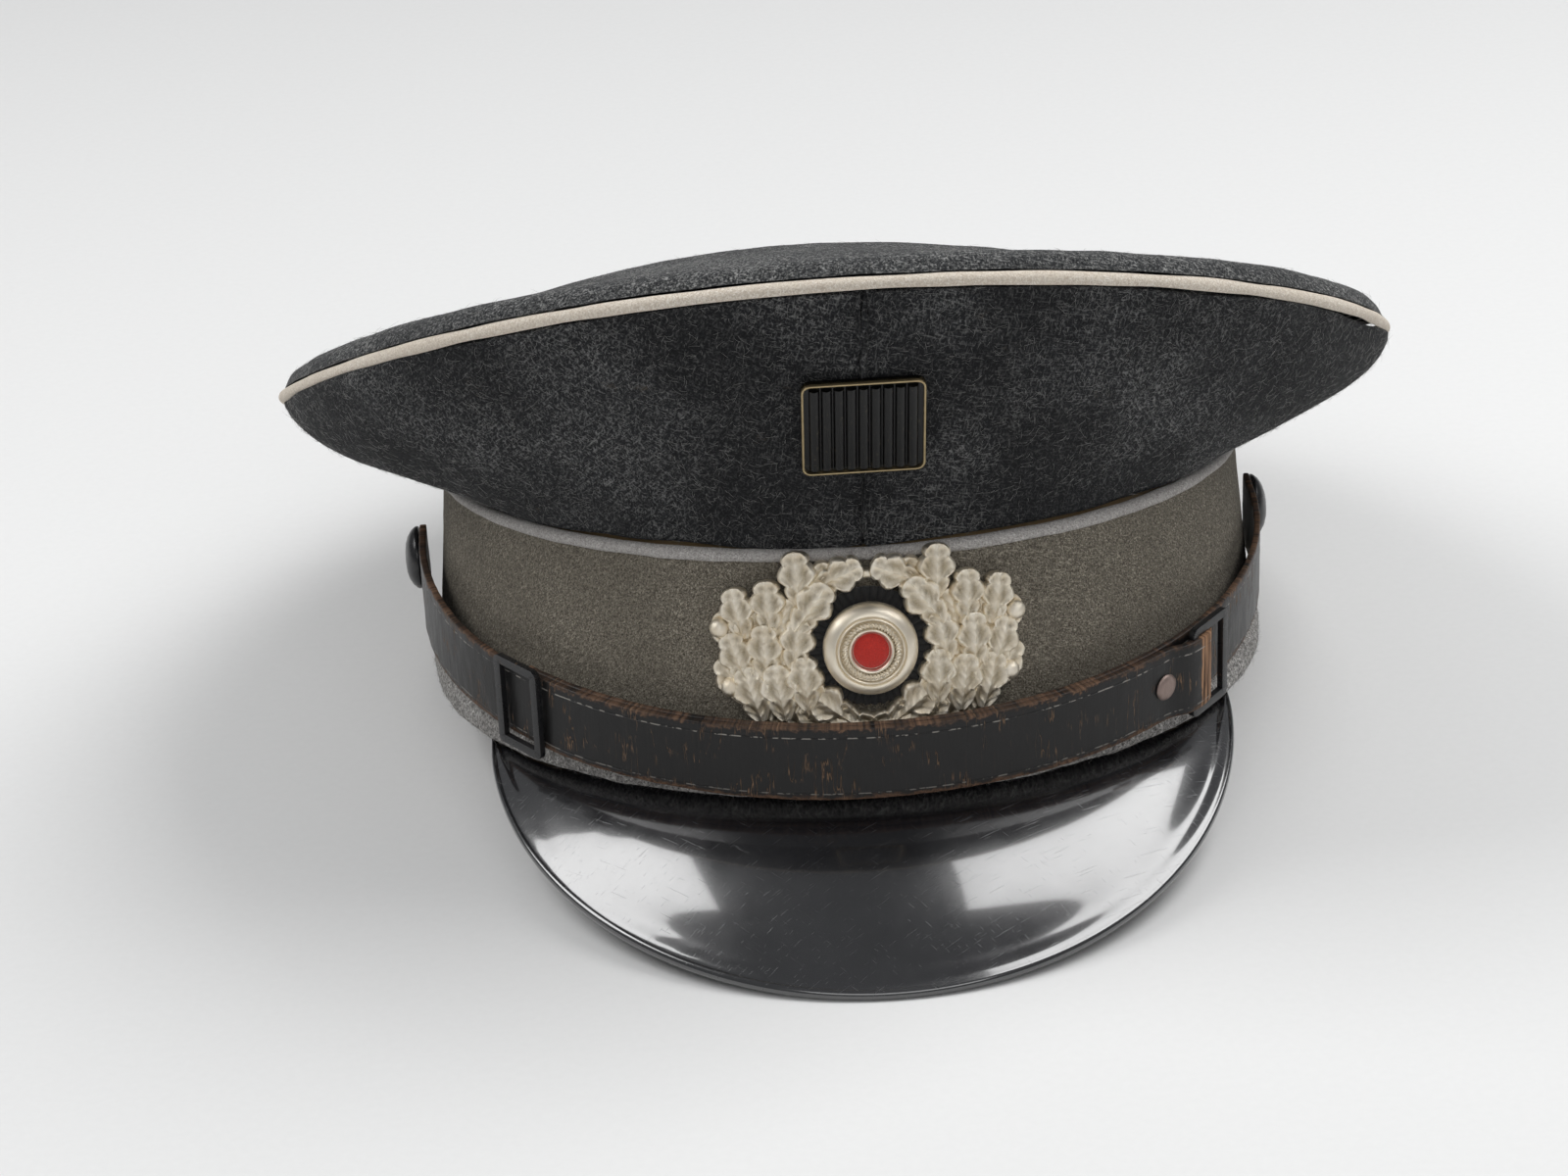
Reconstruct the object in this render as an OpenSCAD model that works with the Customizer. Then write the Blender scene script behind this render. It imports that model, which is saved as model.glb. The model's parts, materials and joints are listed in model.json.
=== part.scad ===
// Military peaked cap: saddle-shaped wool crown on a stiffened band, lacquered visor, two-part
// chin strap, oak wreath with cockade and a plain badge. The front is -Y, the wearer's left is +X.
// All pieces are drawn in the cap's own frame, with the hem plane at z = 0, and seated() then
// lets the cap down onto a flat surface, on its visor's tip and the back of its hem.

/* [Band] */
// Half of the band's width at the hem
band_half_w = 95; // [92:0.5:98]
// Half of the straight run at each side of the band, which makes it longer than wide
band_flat = 4.4; // [3:0.1:6]
// Height of the seam above the band, at the sides
band_h = 50; // [47:0.5:53]
// How much higher that seam stands in front
band_rise = 3.5; // [2:0.1:5]
// How far the band's wall leans in over its height
band_taper = 4.3; // [3:0.1:5.5]
// Thickness of the band's wool cloth
band_cloth_t = 1.8; // [1.4:0.1:2.2]
// Thickness of the stiffening board behind it
stiffener_t = 1.2; // [0.8:0.1:1.4]
// Height of the rolled wool strip along the hem
hem_h = 8; // [6:0.5:9]
// How far that strip stands out from the band
hem_proud = 0.9; // [0.5:0.1:1.2]
// Radius of the piping cords above and below the band
piping_r = 1.1; // [0.8:0.1:1.3]

/* [Sweatband] */
// Height of the leather sweatband
sweat_h = 40; // [34:0.5:42]
// Thickness of the leather
sweat_t = 1; // [0.8:0.1:1.2]
// Room between the board and the sweatband, for the visor's flange and the prongs
sweat_room = 2.3; // [2.2:0.1:2.8]

/* [Crown] */
// Half of the crown's width
crown_half_w = 125.5; // [120:0.5:130]
// Half of the crown's length
crown_half_l = 123; // [118:0.5:127]
// Height of the crown's seam in front
crown_front_z = 120.5; // [112:0.5:126]
// Height of the crown's seam at the sides
crown_side_z = 67; // [65:0.5:70]
// Height of the crown's seam at the back
crown_rear_z = 58; // [57:0.5:62]
// Fullness of the seam between front and side
crown_shoulder = 1.9; // [1:0.1:2.5]
// Thickness of the crown's wool cloth
crown_t = 2; // [1.6:0.1:2.4]
// How high the padded edge of the top rolls over the seam
roll_h = 5; // [4:0.25:6]
// Radius of the crown's piping cord
crown_piping_r = 1.5; // [1.2:0.1:1.8]
// Radius of the spring wire that keeps the crown open
wire_r = 0.9; // [0.7:0.1:1]
// Depth of the lining under the crown's top
lining_drop = 8; // [7:0.5:10]
// Thickness of the lining
lining_t = 0.8; // [0.6:0.1:1]
// Width of the stay behind the crown's front
stay_w = 10; // [8:0.5:12]

/* [Visor] */
// Reach of the visor in front of the cap's middle
visor_reach = 135; // [130:0.5:140]
// Half of the visor's width
visor_half_w = 82.5; // [80:0.5:84]
// Depth of the visor's tip below the hem
visor_drop = 31.5; // [28:0.5:34]
// How far back the visor's rim starts, measured from the cap's middle
visor_start = 50; // [48:0.5:52]
// Half of the angle that the visor takes up on the band
visor_angle = 62; // [60:0.5:64]
// Thickness of the visor
visor_t = 1.8; // [1.4:0.1:2]
// Crown of the visor's surface between root and rim, as a share of its depth
visor_bulge = 0.07; // [0.03:0.01:0.1]
// Width of the raised lip along the rim
lip_w = 5; // [4:0.25:6]
// Height of that lip
lip_h = 0.9; // [0.6:0.1:1.2]
// Height of the flange that is sewn in behind the band
flange_h = 7; // [5:0.5:9]

/* [Chin strap] */
// Width of the strap
strap_w = 17.3; // [15:0.1:18]
// Thickness of the outer length of strap
outer_t = 1.6; // [1.3:0.1:1.8]
// Thickness of the inner length of strap
inner_t = 1.4; // [1.2:0.1:1.6]
// Height of the side buttons above the hem
button_z = 26.5; // [25:0.5:28]
// Height of the strap's middle in front
strap_front_z = 10.8; // [10.5:0.1:12]
// How far the strap stands off the hem in front
strap_stand = 3; // [2.8:0.1:3.4]
// How far the strap stands off the band at the side buttons
strap_side = 1.5; // [1.2:0.1:2]
// Angle of both frames from the front
frame_angle = 50; // [46:1:54]
// Width of the frames along the strap
frame_w = 14; // [12:0.5:15]
// Width of the frames' bars
frame_bar = 2; // [1.6:0.1:2.4]
// Thickness of the frames
frame_t = 1.4; // [1:0.1:1.6]
// Angle of the rivet stud from the front
stud_angle = 41.5; // [38:0.5:42]
// Radius of the stud's head
stud_r = 3; // [2.5:0.1:3.5]

/* [Buttons] */
// Radius of the side buttons
button_r = 7.3; // [6.5:0.1:8]
// Height of their domes
button_dome = 3.6; // [3:0.1:4.5]
// Radius of their shanks
shank_r = 2; // [1.6:0.1:2.4]

/* [Wreath and cockade] */
// Height of the cockade's middle
cockade_z = 34; // [33:0.5:35]
// Radius of the pleated ruffle
ruffle_r = 12.9; // [12:0.1:13.5]
// Number of pleats
pleats = 40; // [32:2:48]
// Radius of the cockade's metal boss
boss_r = 10.2; // [9.5:0.1:10.5]
// Height of the boss
boss_h = 5.2; // [4.6:0.1:5.6]
// Radius of the felt centre
felt_r = 3.8; // [3:0.1:4.5]
// Length of an oak leaf
leaf_l = 11.5; // [10.5:0.25:12.5]
// Width of an oak leaf
leaf_w = 7; // [6.4:0.1:7.4]
// Thickness of an oak leaf
leaf_t = 1.5; // [1.2:0.1:1.7]
// Radius of an acorn
acorn_r = 2.1; // [1.8:0.1:2.3]

/* [Badge] */
// Width of the badge
badge_w = 25.5; // [22:0.5:28]
// Height of the badge
badge_h = 26; // [22:0.5:28]
// Thickness of the badge
badge_t = 1.6; // [1.2:0.1:2]
// Place of the badge along the front, from the band's seam to the crown's
badge_place = 0.5; // [0.45:0.01:0.55]

/* [Hidden] */

$fn = 96;
seam_gap = 0.3;    // soft pieces lie this far apart
fit_gap = 0.05;    // radial clearance of a shank in its hole
big = 400;         // larger than the cap

band_half_l = band_half_w + band_flat;
wall_lean = atan(band_taper / band_h);
top_tilt = atan(band_rise / (band_half_l - band_taper));
top_shift = band_taper * band_rise / band_h;
seam_z = hem_h + seam_gap / 2 + piping_r;
cloth_z = seam_z + piping_r + seam_gap / 2;

// How far the band's wall has come in at height z
function lean_in(z) = band_taper * z / band_h;

// Point of the band's outline at an angle from the front, for arcs of radius r
function oval(phi, r, straight = band_flat) =
    [r * sin(phi), -r * cos(phi) - straight * cos(phi) / max(abs(cos(phi)), 0.05)];

// Rest attitude: the visor's tip and the back of the hem touch the surface
rest_tilt = atan(visor_drop / (visor_reach + band_half_l + hem_proud));
rest_lift = (band_half_l + hem_proud) * sin(rest_tilt);
front_y = -visor_reach * cos(rest_tilt) - visor_drop * sin(rest_tilt);
back_y = (crown_half_l + crown_piping_r - 1) * cos(rest_tilt) + crown_rear_z * sin(rest_tilt);

module seated() {
    translate([0, -(front_y + back_y) / 2, rest_lift]) rotate([-rest_tilt, 0, 0]) children();
}

// Closed tube through rings of points, with flat ends or closed on itself.
// Each ring runs counter-clockwise as seen by someone whom the tube comes towards.
module loft(rings, loop = false) {
    n = len(rings);
    m = len(rings[0]);
    points = [for (ring = rings) each ring];
    sides = [for (i = [0 : n - (loop ? 1 : 2)]) for (j = [0 : m - 1])
        let (k = (j + 1) % m, next = ((i + 1) % n) * m, a = i * m + j, b = i * m + k, c = next + k, d = next + j)
        each [[a, d, c], [a, c, b]]];
    ends = loop ? [] : [[for (j = [0 : m - 1]) j], [for (j = [m - 1 : -1 : 0]) (n - 1) * m + j]];
    polyhedron(points, concat(sides, ends));
}

// Closed skin from an upper pole over rings of points to a lower pole
module dome(upper, rings, lower) {
    n = len(rings);
    m = len(rings[0]);
    points = concat([upper], [for (ring = rings) each ring], [lower]);
    cap = [for (j = [0 : m - 1]) [0, 1 + (j + 1) % m, 1 + j]];
    sides = [for (i = [0 : n - 2]) for (j = [0 : m - 1])
        let (a = 1 + i * m + j, b = 1 + i * m + (j + 1) % m, c = b + m, d = a + m)
        each [[a, b, c], [a, c, d]]];
    foot = [for (j = [0 : m - 1]) [n * m + 1, 1 + (n - 1) * m + j, 1 + (n - 1) * m + (j + 1) % m]];
    polyhedron(points, concat(cap, sides, foot));
}

// ---- band ----

// Sweeps a profile round the band: x is the distance outside the hem's line, y the height
module round_band(straight = band_flat, r = band_half_w) {
    for (turn = [0, 180]) rotate([0, 0, turn]) translate([0, straight, 0]) {
        rotate_extrude(angle = 180) translate([r, 0]) children();
        rotate([90, 0, 0]) linear_extrude(2 * straight) translate([r, 0]) children();
    }
}

// Profile of one layer of the band's wall, from one height to another
module layer(inset, thickness, low, high) {
    polygon([[-lean_in(low) - inset, low], [-lean_in(high) - inset, high],
        [-lean_in(high) - inset - thickness, high], [-lean_in(low) - inset - thickness, low]]);
}

// Takes away what stands above the band's top seam, less a margin
module below_seam(margin) {
    difference() {
        children();
        translate([0, 0, band_h - margin]) rotate([-top_tilt, 0, 0]) translate([-big / 2, -big / 2, 0])
            cube([big, big, band_h]);
    }
}

module shank_holes(r) {
    translate([0, 0, button_z]) rotate([0, 90, 0]) cylinder(r = r, h = big, center = true, $fn = 48);
}

module band_cloth() {
    color([0.35, 0.34, 0.30]) seated() difference() {
        below_seam(piping_r + seam_gap / 2)
            round_band() layer(0, band_cloth_t, cloth_z, band_h + 2 * band_rise);
        shank_holes(shank_r + fit_gap);
        prong_holes(prong_r + fit_gap);
    }
}

stiffener_in = band_cloth_t + seam_gap;
room_in = stiffener_in + stiffener_t;

module band_stiffener() {
    color([0.62, 0.50, 0.36]) seated() difference() {
        below_seam(piping_r + seam_gap / 2)
            round_band() layer(stiffener_in, stiffener_t, seam_gap, band_h + 2 * band_rise);
        shank_holes(shank_r + fit_gap);
        prong_holes(prong_r + fit_gap);
    }
}

module band_top_piping() {
    color([0.68, 0.66, 0.65]) seated() translate([0, top_shift, band_h]) rotate([-top_tilt, 0, 0])
        round_band() translate([-band_taper - piping_r / 3, 0]) circle(r = piping_r, $fn = 32);
}

module band_bottom_piping() {
    color([0.68, 0.66, 0.65]) seated() translate([0, 0, seam_z])
        round_band() translate([-lean_in(seam_z) - piping_r / 3, 0]) circle(r = piping_r, $fn = 32);
}

module hem_strip() {
    color([0.38, 0.37, 0.36]) seated() round_band()
        polygon([[-band_cloth_t, 0], [0.4 * hem_proud, 0], [hem_proud, 0.2 * hem_h],
            [hem_proud, 0.7 * hem_h], [0, hem_h], [-band_cloth_t, hem_h]]);
}

sweat_in = room_in + sweat_room;

module sweatband() {
    color([0.45, 0.30, 0.20]) seated() round_band() layer(sweat_in, sweat_t, seam_gap, sweat_h);
}

// ---- crown ----

crown_back = -1;   // the crown sits this far towards the front
crown_mid_z = (crown_front_z + crown_rear_z) / 4 + crown_side_z / 2;
crown_slope = (crown_front_z - crown_rear_z) / 2 + crown_shoulder;
crown_saddle = ((crown_front_z + crown_rear_z) / 2 - crown_side_z) / 2;

// The saddle on which the crown's seam lies: share is 0 in the middle and 1 at the seam
function saddle_z(phi, share) = crown_mid_z + share * crown_slope * cos(phi)
    + pow(share, 2) * crown_saddle * cos(2 * phi) - pow(share, 3) * crown_shoulder * cos(3 * phi);
function crown_xy(phi, share) =
    [share * crown_half_w * sin(phi), -share * crown_half_l * cos(phi) + crown_back];

// Padding of the top above the saddle, a quarter round at the edge
roll_share = 0.94;
function padding(share) = share > roll_share
    ? roll_h * sqrt(max(0, 1 - pow((share - roll_share) / (1 - roll_share), 2)))
    : roll_h * (0.6 + 0.4 * cos(180 * (roll_share - share) / roll_share));

// The side of the crown is a curve from the band's seam (place 0) to the crown's seam (place 1).
// In front it rises steeply, and at the sides and back it runs out flat and turns up at the end.
function base_z(phi) = band_h + band_rise * cos(phi) + piping_r + seam_gap;
function base_xy(phi) = oval(phi, band_half_w - lean_in(base_z(phi)));
function side_run(phi) = norm(crown_xy(phi, 1) - base_xy(phi));
function side_rise(phi) = saddle_z(phi, 1) - crown_piping_r - seam_gap - base_z(phi);
function frontness(phi) = pow(max(0, cos(phi)), 0.8);
function handle(phi, a, b) = a + (b - a) * frontness(phi);
function curve(t, p1, p2, p3) = 3 * t * pow(1 - t, 2) * p1 + 3 * t * t * (1 - t) * p2 + t * t * t * p3;
function slope(t, p1, p2, p3) = 3 * pow(1 - t, 2) * p1 + 6 * t * (1 - t) * (p2 - p1) + 3 * t * t * (p3 - p2);
function handles(phi) = [
    [handle(phi, 0.42, 0.16) * side_run(phi), handle(phi, -0.07, 0.33) * side_rise(phi)],
    [handle(phi, 1, 0.72) * side_run(phi), handle(phi, 0.4, 0.67) * side_rise(phi)],
    [side_run(phi), side_rise(phi)]];
function side_dir(phi, t) = let (h = handles(phi), s = slope(t, h[0], h[1], h[2])) s / norm(s);
function side_point(phi, t, inset = 0) =
    let (h = handles(phi), p = curve(t, h[0], h[1], h[2]), d = side_dir(phi, t),
        out = (crown_xy(phi, 1) - base_xy(phi)) / side_run(phi), run = p[0] - inset * d[1])
    [base_xy(phi)[0] + out[0] * run, base_xy(phi)[1] + out[1] * run, base_z(phi) + p[1] + inset * d[0]];

side_steps = 7;
quarter_steps = 14;
function side_section(phi) = concat(
    [for (k = [side_steps : -1 : 0]) side_point(phi, k / side_steps)],
    [for (k = [0 : side_steps]) side_point(phi, k / side_steps, crown_t)]);

// One of the four quarters that the crown's side is sewn from
module quarter(start) {
    seam_angle = seam_gap / 2 / band_half_w * 180 / PI;
    reach = 90 - 2 * seam_angle;
    loft([for (k = [0 : quarter_steps]) side_section(start + seam_angle + reach * k / quarter_steps)]);
}

module front_quarter(start) {
    color([0.24, 0.25, 0.27]) seated() difference() {
        quarter(start);
        badge_place() badge_pins(prong_r + seam_gap / 2);
    }
}

module crown_front_left() {
    front_quarter(0);
}

module crown_front_right() {
    front_quarter(-90);
}

module crown_rear_left() {
    color([0.24, 0.25, 0.27]) seated() quarter(90);
}

module crown_rear_right() {
    color([0.24, 0.25, 0.27]) seated() quarter(180);
}

top_steps = 60;
function top_point(phi, share, depth = 0) = let (xy = crown_xy(phi, share))
    [xy[0], xy[1], saddle_z(phi, share) + padding(share) + crown_piping_r + seam_gap - depth];
function top_ring(share, depth = 0) =
    [for (k = [0 : top_steps - 1]) top_point(360 * k / top_steps, share, depth)];

module crown_top() {
    outer = [0.25, 0.5, 0.7, 0.85, roll_share, 0.97, 0.99, 1];
    inner = [edge_share, roll_share, 0.85, 0.7, 0.5, 0.25];
    color([0.27, 0.28, 0.30]) seated() dome(top_point(0, 0), concat(
        [for (s = outer) top_ring(s)],
        [for (s = inner) top_ring(s, s > roll_share ? padding(s) : crown_t)]), top_point(0, 0, crown_t));
}

// Round cord along the crown's saddle, at a share of its width and a rise above it
module crown_cord(r, share, rise, sides) {
    loft([for (k = [0 : top_steps - 1])
        let (phi = 360 * k / top_steps, xy = crown_xy(phi, share), out = xy / norm(xy))
        [for (j = [0 : sides - 1]) let (turn = 360 * (j + 0.5) / sides, run = -r * cos(turn))
            [xy[0] + out[0] * run, xy[1] + out[1] * run, saddle_z(phi, share) + rise + r * sin(turn)]]], loop = true);
}

module crown_piping() {
    color([0.78, 0.74, 0.68]) seated() crown_cord(crown_piping_r, 1, 0, 10);
}

// The wire lies inside the padded edge, just under the slope of the top's inner face
edge_share = 0.98;
wire_share = 0.965;
wire_slope = (edge_share - wire_share) / (edge_share - roll_share);
module crown_wire() {
    under_top = crown_piping_r + seam_gap + (roll_h - crown_t) * wire_slope;
    color([0.45, 0.45, 0.46]) seated() crown_cord(wire_r, wire_share, under_top - wire_r - 0.5, 6);
}

stay_gap = 0.7;
stay_t = 0.8;
stay_places = [for (k = [0 : 12]) 0.06 + 0.88 * k / 12];
module front_stay() {
    face = [for (place = stay_places) side_point(0, place, crown_t + stay_gap)];
    back = [for (k = [12 : -1 : 0]) side_point(0, stay_places[k], crown_t + stay_gap + stay_t)];
    color([0.72, 0.66, 0.52]) seated() rotate([90, 0, 90]) linear_extrude(stay_w, center = true)
        polygon([for (p = concat(face, back)) [p[1], p[2]]]);
}

lining_steps = 36;
lining_shares = [0.6, 0.45, 0.3, 0.15];
function lining_wall(phi, inset, z) =
    let (p = oval(phi, band_half_w - lean_in(z) - inset)) [p[0], p[1], z];
function lining_shoulder(phi, depth) =
    let (p = 0.8 * base_xy(phi) + 0.2 * crown_xy(phi, 1), under = top_point(phi, 0.8, lining_drop + depth))
    [p[0], p[1], under[2]];
function lining_side(depth) = [
    for (level = [0 : 2]) [for (k = [0 : lining_steps - 1]) let (phi = 360 * k / lining_steps)
        level == 0 ? lining_shoulder(phi, depth)
        : lining_wall(phi, room_in + 2 * seam_gap + depth, level == 1 ? base_z(phi) : sweat_h - 8)]];
function lining_disc(share, depth) =
    [for (k = [0 : lining_steps - 1]) top_point(360 * k / lining_steps, share, lining_drop + depth)];

module crown_lining() {
    out = lining_side(0);
    in = lining_side(lining_t);
    color([0.70, 0.56, 0.38]) seated() dome(top_point(0, 0, lining_drop), concat(
        [for (k = [3 : -1 : 0]) lining_disc(lining_shares[k], 0)], out,
        [in[2], in[1], in[0]], [for (s = lining_shares) lining_disc(s, lining_t)]),
        top_point(0, 0, lining_drop + lining_t));
}

// Thin diamond of clear sheet sewn under the lining
shield_half = [34, 42];
shield_t = 0.5;
shield_steps = 8;
function under_lining(x, y, depth) =
    let (right = x / crown_half_w, fore = (crown_back - y) / crown_half_l,
        share = norm([right, fore]), phi = atan2(right, fore))
    [x, y, top_point(phi, share, lining_drop + lining_t + 2 * seam_gap + depth)[2]];
function shield_row(v, depth) = [for (i = [0 : shield_steps]) let (u = 2 * i / shield_steps - 1)
    under_lining(shield_half[0] * (u + v) / 2, crown_back + shield_half[1] * (v - u) / 2, depth)];

module sweat_shield() {
    color([0.80, 0.74, 0.58]) seated() loft([for (k = [0 : shield_steps])
        let (v = 2 * k / shield_steps - 1, under = shield_row(v, shield_t))
        concat(shield_row(v, 0), [for (i = [shield_steps : -1 : 0]) under[i]])]);
}

// ---- visor ----

visor_lip_r = (visor_t + lip_h) / 2;
visor_tip_z = visor_lip_r - visor_drop;
visor_root_z = -2 * seam_gap;
flange_in = room_in + seam_gap;
flange_t = visor_t - 0.4;
function root_xy(turn, inset) = oval(turn / 90 * visor_angle, band_half_w - inset);
function rim_point(turn) = let (y = -visor_start - (visor_reach - visor_lip_r - visor_start) * cos(turn))
    [visor_half_w * sin(turn), y, visor_root_z - 0.3
        + (visor_tip_z - visor_root_z) * (-y - visor_start) / (visor_reach - visor_start)];

// Cross-section of the visor, from the flange over the upper face, round the lip and back
visor_steps = 6;
function visor_section(turn) =
    let (root = root_xy(turn, flange_in), rim = rim_point(turn), lean = lean_in(flange_h),
        top = root_xy(turn, flange_in + lean), top_back = root_xy(turn, flange_in + lean + flange_t),
        back = root_xy(turn, flange_in + flange_t),
        run = norm([rim[0] - root[0], rim[1] - root[1]]), drop = rim[2] - visor_root_z,
        out = [rim[0] - root[0], rim[1] - root[1]] / run, long = norm([run, drop]),
        normal = [-drop, run] / long, along = [run, drop] / long, lip = min(lip_w, long * 0.45),
        bend = [for (k = [0 : visor_steps]) let (t = k / visor_steps * (1 - lip / long))
            [run, drop] * t + normal * (visor_bulge * long * 4 * t * (1 - t))],
        edge = [for (a = [135 : -45 : -90]) [run, drop] + normal * visor_lip_r * (sin(a) - 0.25)
            + along * visor_lip_r * cos(a)],
        rise = [[run, drop] - along * (lip - 1) + normal * (lip_h + visor_bulge * lip)],
        under = [for (k = [visor_steps : -1 : 1]) bend[k] - normal * visor_t],
        face = concat(bend, rise, edge, under))
    concat([[top_back[0], top_back[1], flange_h], [top[0], top[1], flange_h]],
        [for (p = face) [root[0] + out[0] * p[0], root[1] + out[1] * p[0], visor_root_z + p[1]]],
        [[back[0], back[1], visor_root_z - visor_t]]);

module visor() {
    stations = 36;
    color([0.06, 0.06, 0.07]) seated()
        loft([for (k = [stations : -1 : 0]) visor_section(180 * k / stations - 90)]);
}

// ---- chin strap ----

strap_plan = band_half_l + strap_stand;
strap_tilt = atan((button_z - strap_front_z) / strap_plan);
strap_r = band_half_w - lean_in(button_z) + strap_side;
strap_fore = strap_plan / cos(strap_tilt) - strap_r;
outer_r = strap_r + inner_t + seam_gap / 2;
frame_r = outer_r + outer_t + seam_gap;
strap_tail = strap_w / 2;

module strap_frame() {
    seated() translate([0, 0, button_z]) rotate([strap_tilt, 0, 0]) children();
}

// Length of strap from one side's button round to an angle from the front on the other side
module strap_length(side, r, t, reach) {
    mirror([side > 0 ? 1 : 0, 0, 0]) difference() {
        union() {
            translate([0, -strap_fore, -strap_w / 2]) rotate([0, 0, 180]) rotate_extrude(angle = 90 + reach)
                translate([r, 0]) square([t, strap_w]);
            translate([-r - t, -strap_fore, -strap_w / 2]) cube([t, strap_fore, strap_w]);
            translate([-r - t, 0, 0]) rotate([0, 90, 0]) cylinder(r = strap_tail, h = t);
        }
        rotate([0, 90, 0]) cylinder(r = shank_r + fit_gap, h = big, center = true, $fn = 48);
    }
}

module on_strap(angle, r) {
    translate([0, -strap_fore, 0]) rotate([0, 0, angle]) translate([0, -r, 0]) rotate([90, 0, 0]) children();
}

module strap_outer() {
    color([0.10, 0.09, 0.09]) strap_frame() difference() {
        strap_length(-1, outer_r, outer_t, frame_angle);
        on_strap(stud_angle, outer_r + outer_t / 2)
            cylinder(r = stud_shank_r + fit_gap, h = 3 * outer_t, center = true, $fn = 32);
    }
}

module strap_inner() {
    color([0.13, 0.10, 0.09]) strap_frame() strap_length(1, strap_r, inner_t, frame_angle);
}

frame_h = strap_w + 2 * frame_bar + 2 * seam_gap;
frame_corner = 1;
module frame_outline(w, h, c) {
    polygon([[-w / 2 + c, -h / 2], [w / 2 - c, -h / 2], [w / 2, -h / 2 + c], [w / 2, h / 2 - c],
        [w / 2 - c, h / 2], [-w / 2 + c, h / 2], [-w / 2, h / 2 - c], [-w / 2, -h / 2 + c]]);
}

module strap_loop(angle) {
    color([0.08, 0.08, 0.09]) strap_frame() on_strap(angle, frame_r)
        linear_extrude(frame_t) difference() {
            frame_outline(frame_w, frame_h, frame_corner);
            frame_outline(frame_w - 2 * frame_bar, frame_h - 2 * frame_bar, frame_corner / 2);
        }
}

module strap_slide() {
    strap_loop(-frame_angle);
}

module strap_buckle() {
    strap_loop(frame_angle);
}

stud_shank_r = 1.2;
module strap_stud() {
    cap = 1.1;
    dome_r = (stud_r * stud_r + cap * cap) / (2 * cap);
    color([0.55, 0.47, 0.43]) strap_frame() on_strap(stud_angle, outer_r + outer_t + seam_gap / 2) {
        intersection() {
            translate([0, 0, cap - dome_r]) sphere(r = dome_r);
            cylinder(r = stud_r, h = cap + 1, $fn = 48);
        }
        translate([0, 0, -outer_t - seam_gap / 2]) cylinder(r = stud_shank_r, h = outer_t + seam_gap, $fn = 32);
    }
}

// ---- buttons ----

module side_button(side, seat) {
    face = seat + seam_gap;
    dome_r = (button_r * button_r + button_dome * button_dome) / (2 * button_dome);
    wall = band_half_w - lean_in(button_z) - room_in;
    plate_x = wall - seam_gap - 0.9;
    color([0.07, 0.07, 0.08]) seated() mirror([side < 0 ? 1 : 0, 0, 0])
        translate([0, 0, button_z]) rotate([0, 90, 0]) {
        intersection() {
            translate([0, 0, face + button_dome - dome_r]) sphere(r = dome_r);
            translate([0, 0, face]) cylinder(r = button_r, h = 2 * button_dome);
        }
        translate([0, 0, plate_x]) cylinder(r = shank_r, h = face - plate_x + 0.5, $fn = 48);
        translate([-1.5, -5, plate_x - 0.6]) cube([3, 10, 0.8]);
    }
}

module side_button_left() {
    side_button(1, strap_r + inner_t);
}

module side_button_right() {
    side_button(-1, outer_r + outer_t);
}

// ---- wreath and cockade ----

prong_r = 0.8;
prong_side = 20.6;   // place of the wreath's prongs, to each side of the middle
prong_z = cockade_z - 7;
wreath_z = cockade_z - 1;
wreath_gap = 0.4;
inner_ring = ruffle_r + 4.1;

// Places children on the band, a distance along it and a height up, with +Z out of the band
module on_band(along, z, lift) {
    r = band_half_w - lean_in(z);
    translate([0, -band_flat, z]) rotate([0, 0, along / r * 180 / PI]) translate([0, -r, 0])
        rotate([90 - wall_lean, 0, 0]) translate([0, 0, lift]) children();
}

// Oak leaf with its middle at the origin: a round tip, two lobes on each side and a raised midrib
leaf_steps = 14;
function leaf_half(t) = leaf_w / 2 * pow(sin(180 * pow(t, 0.8)), 0.55)
    * (1 - 0.2 * pow(cos(180 * (t - 0.28) / 0.25), 2) * (t > 0.15 && t < 0.9 ? 1 : 0));
module leaf(share = 1) {
    long = leaf_l * share;
    side = [for (k = [1 : leaf_steps - 1]) let (t = k / leaf_steps) [leaf_half(t) * share, long * (t - 0.5)]];
    linear_extrude(leaf_t) polygon(concat([[-0.6, -long / 2], [0.6, -long / 2]], side,
        [[0, long / 2]], [for (k = [leaf_steps - 2 : -1 : 0]) [-side[k][0], side[k][1]]]));
    linear_extrude(leaf_t + 0.4)
        polygon([[-0.45, -long / 2 + 0.2], [0.45, -long / 2 + 0.2], [0.15, 0.34 * long], [-0.15, 0.34 * long]]);
}

// One row of leaves up one side, at a ring round the cockade. The leaves' aim turns with the row.
module leaf_row(side, ring, first, step, count, aim, turn, lift, share) {
    for (k = [0 : count - 1]) let (angle = first + step * k)
        on_band(side * ring * cos(angle), wreath_z + ring * sin(angle), wreath_gap + lift + 0.25 * (k % 2))
            rotate([0, 0, side * (aim + turn * angle - 90)]) leaf(share);
}

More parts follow.
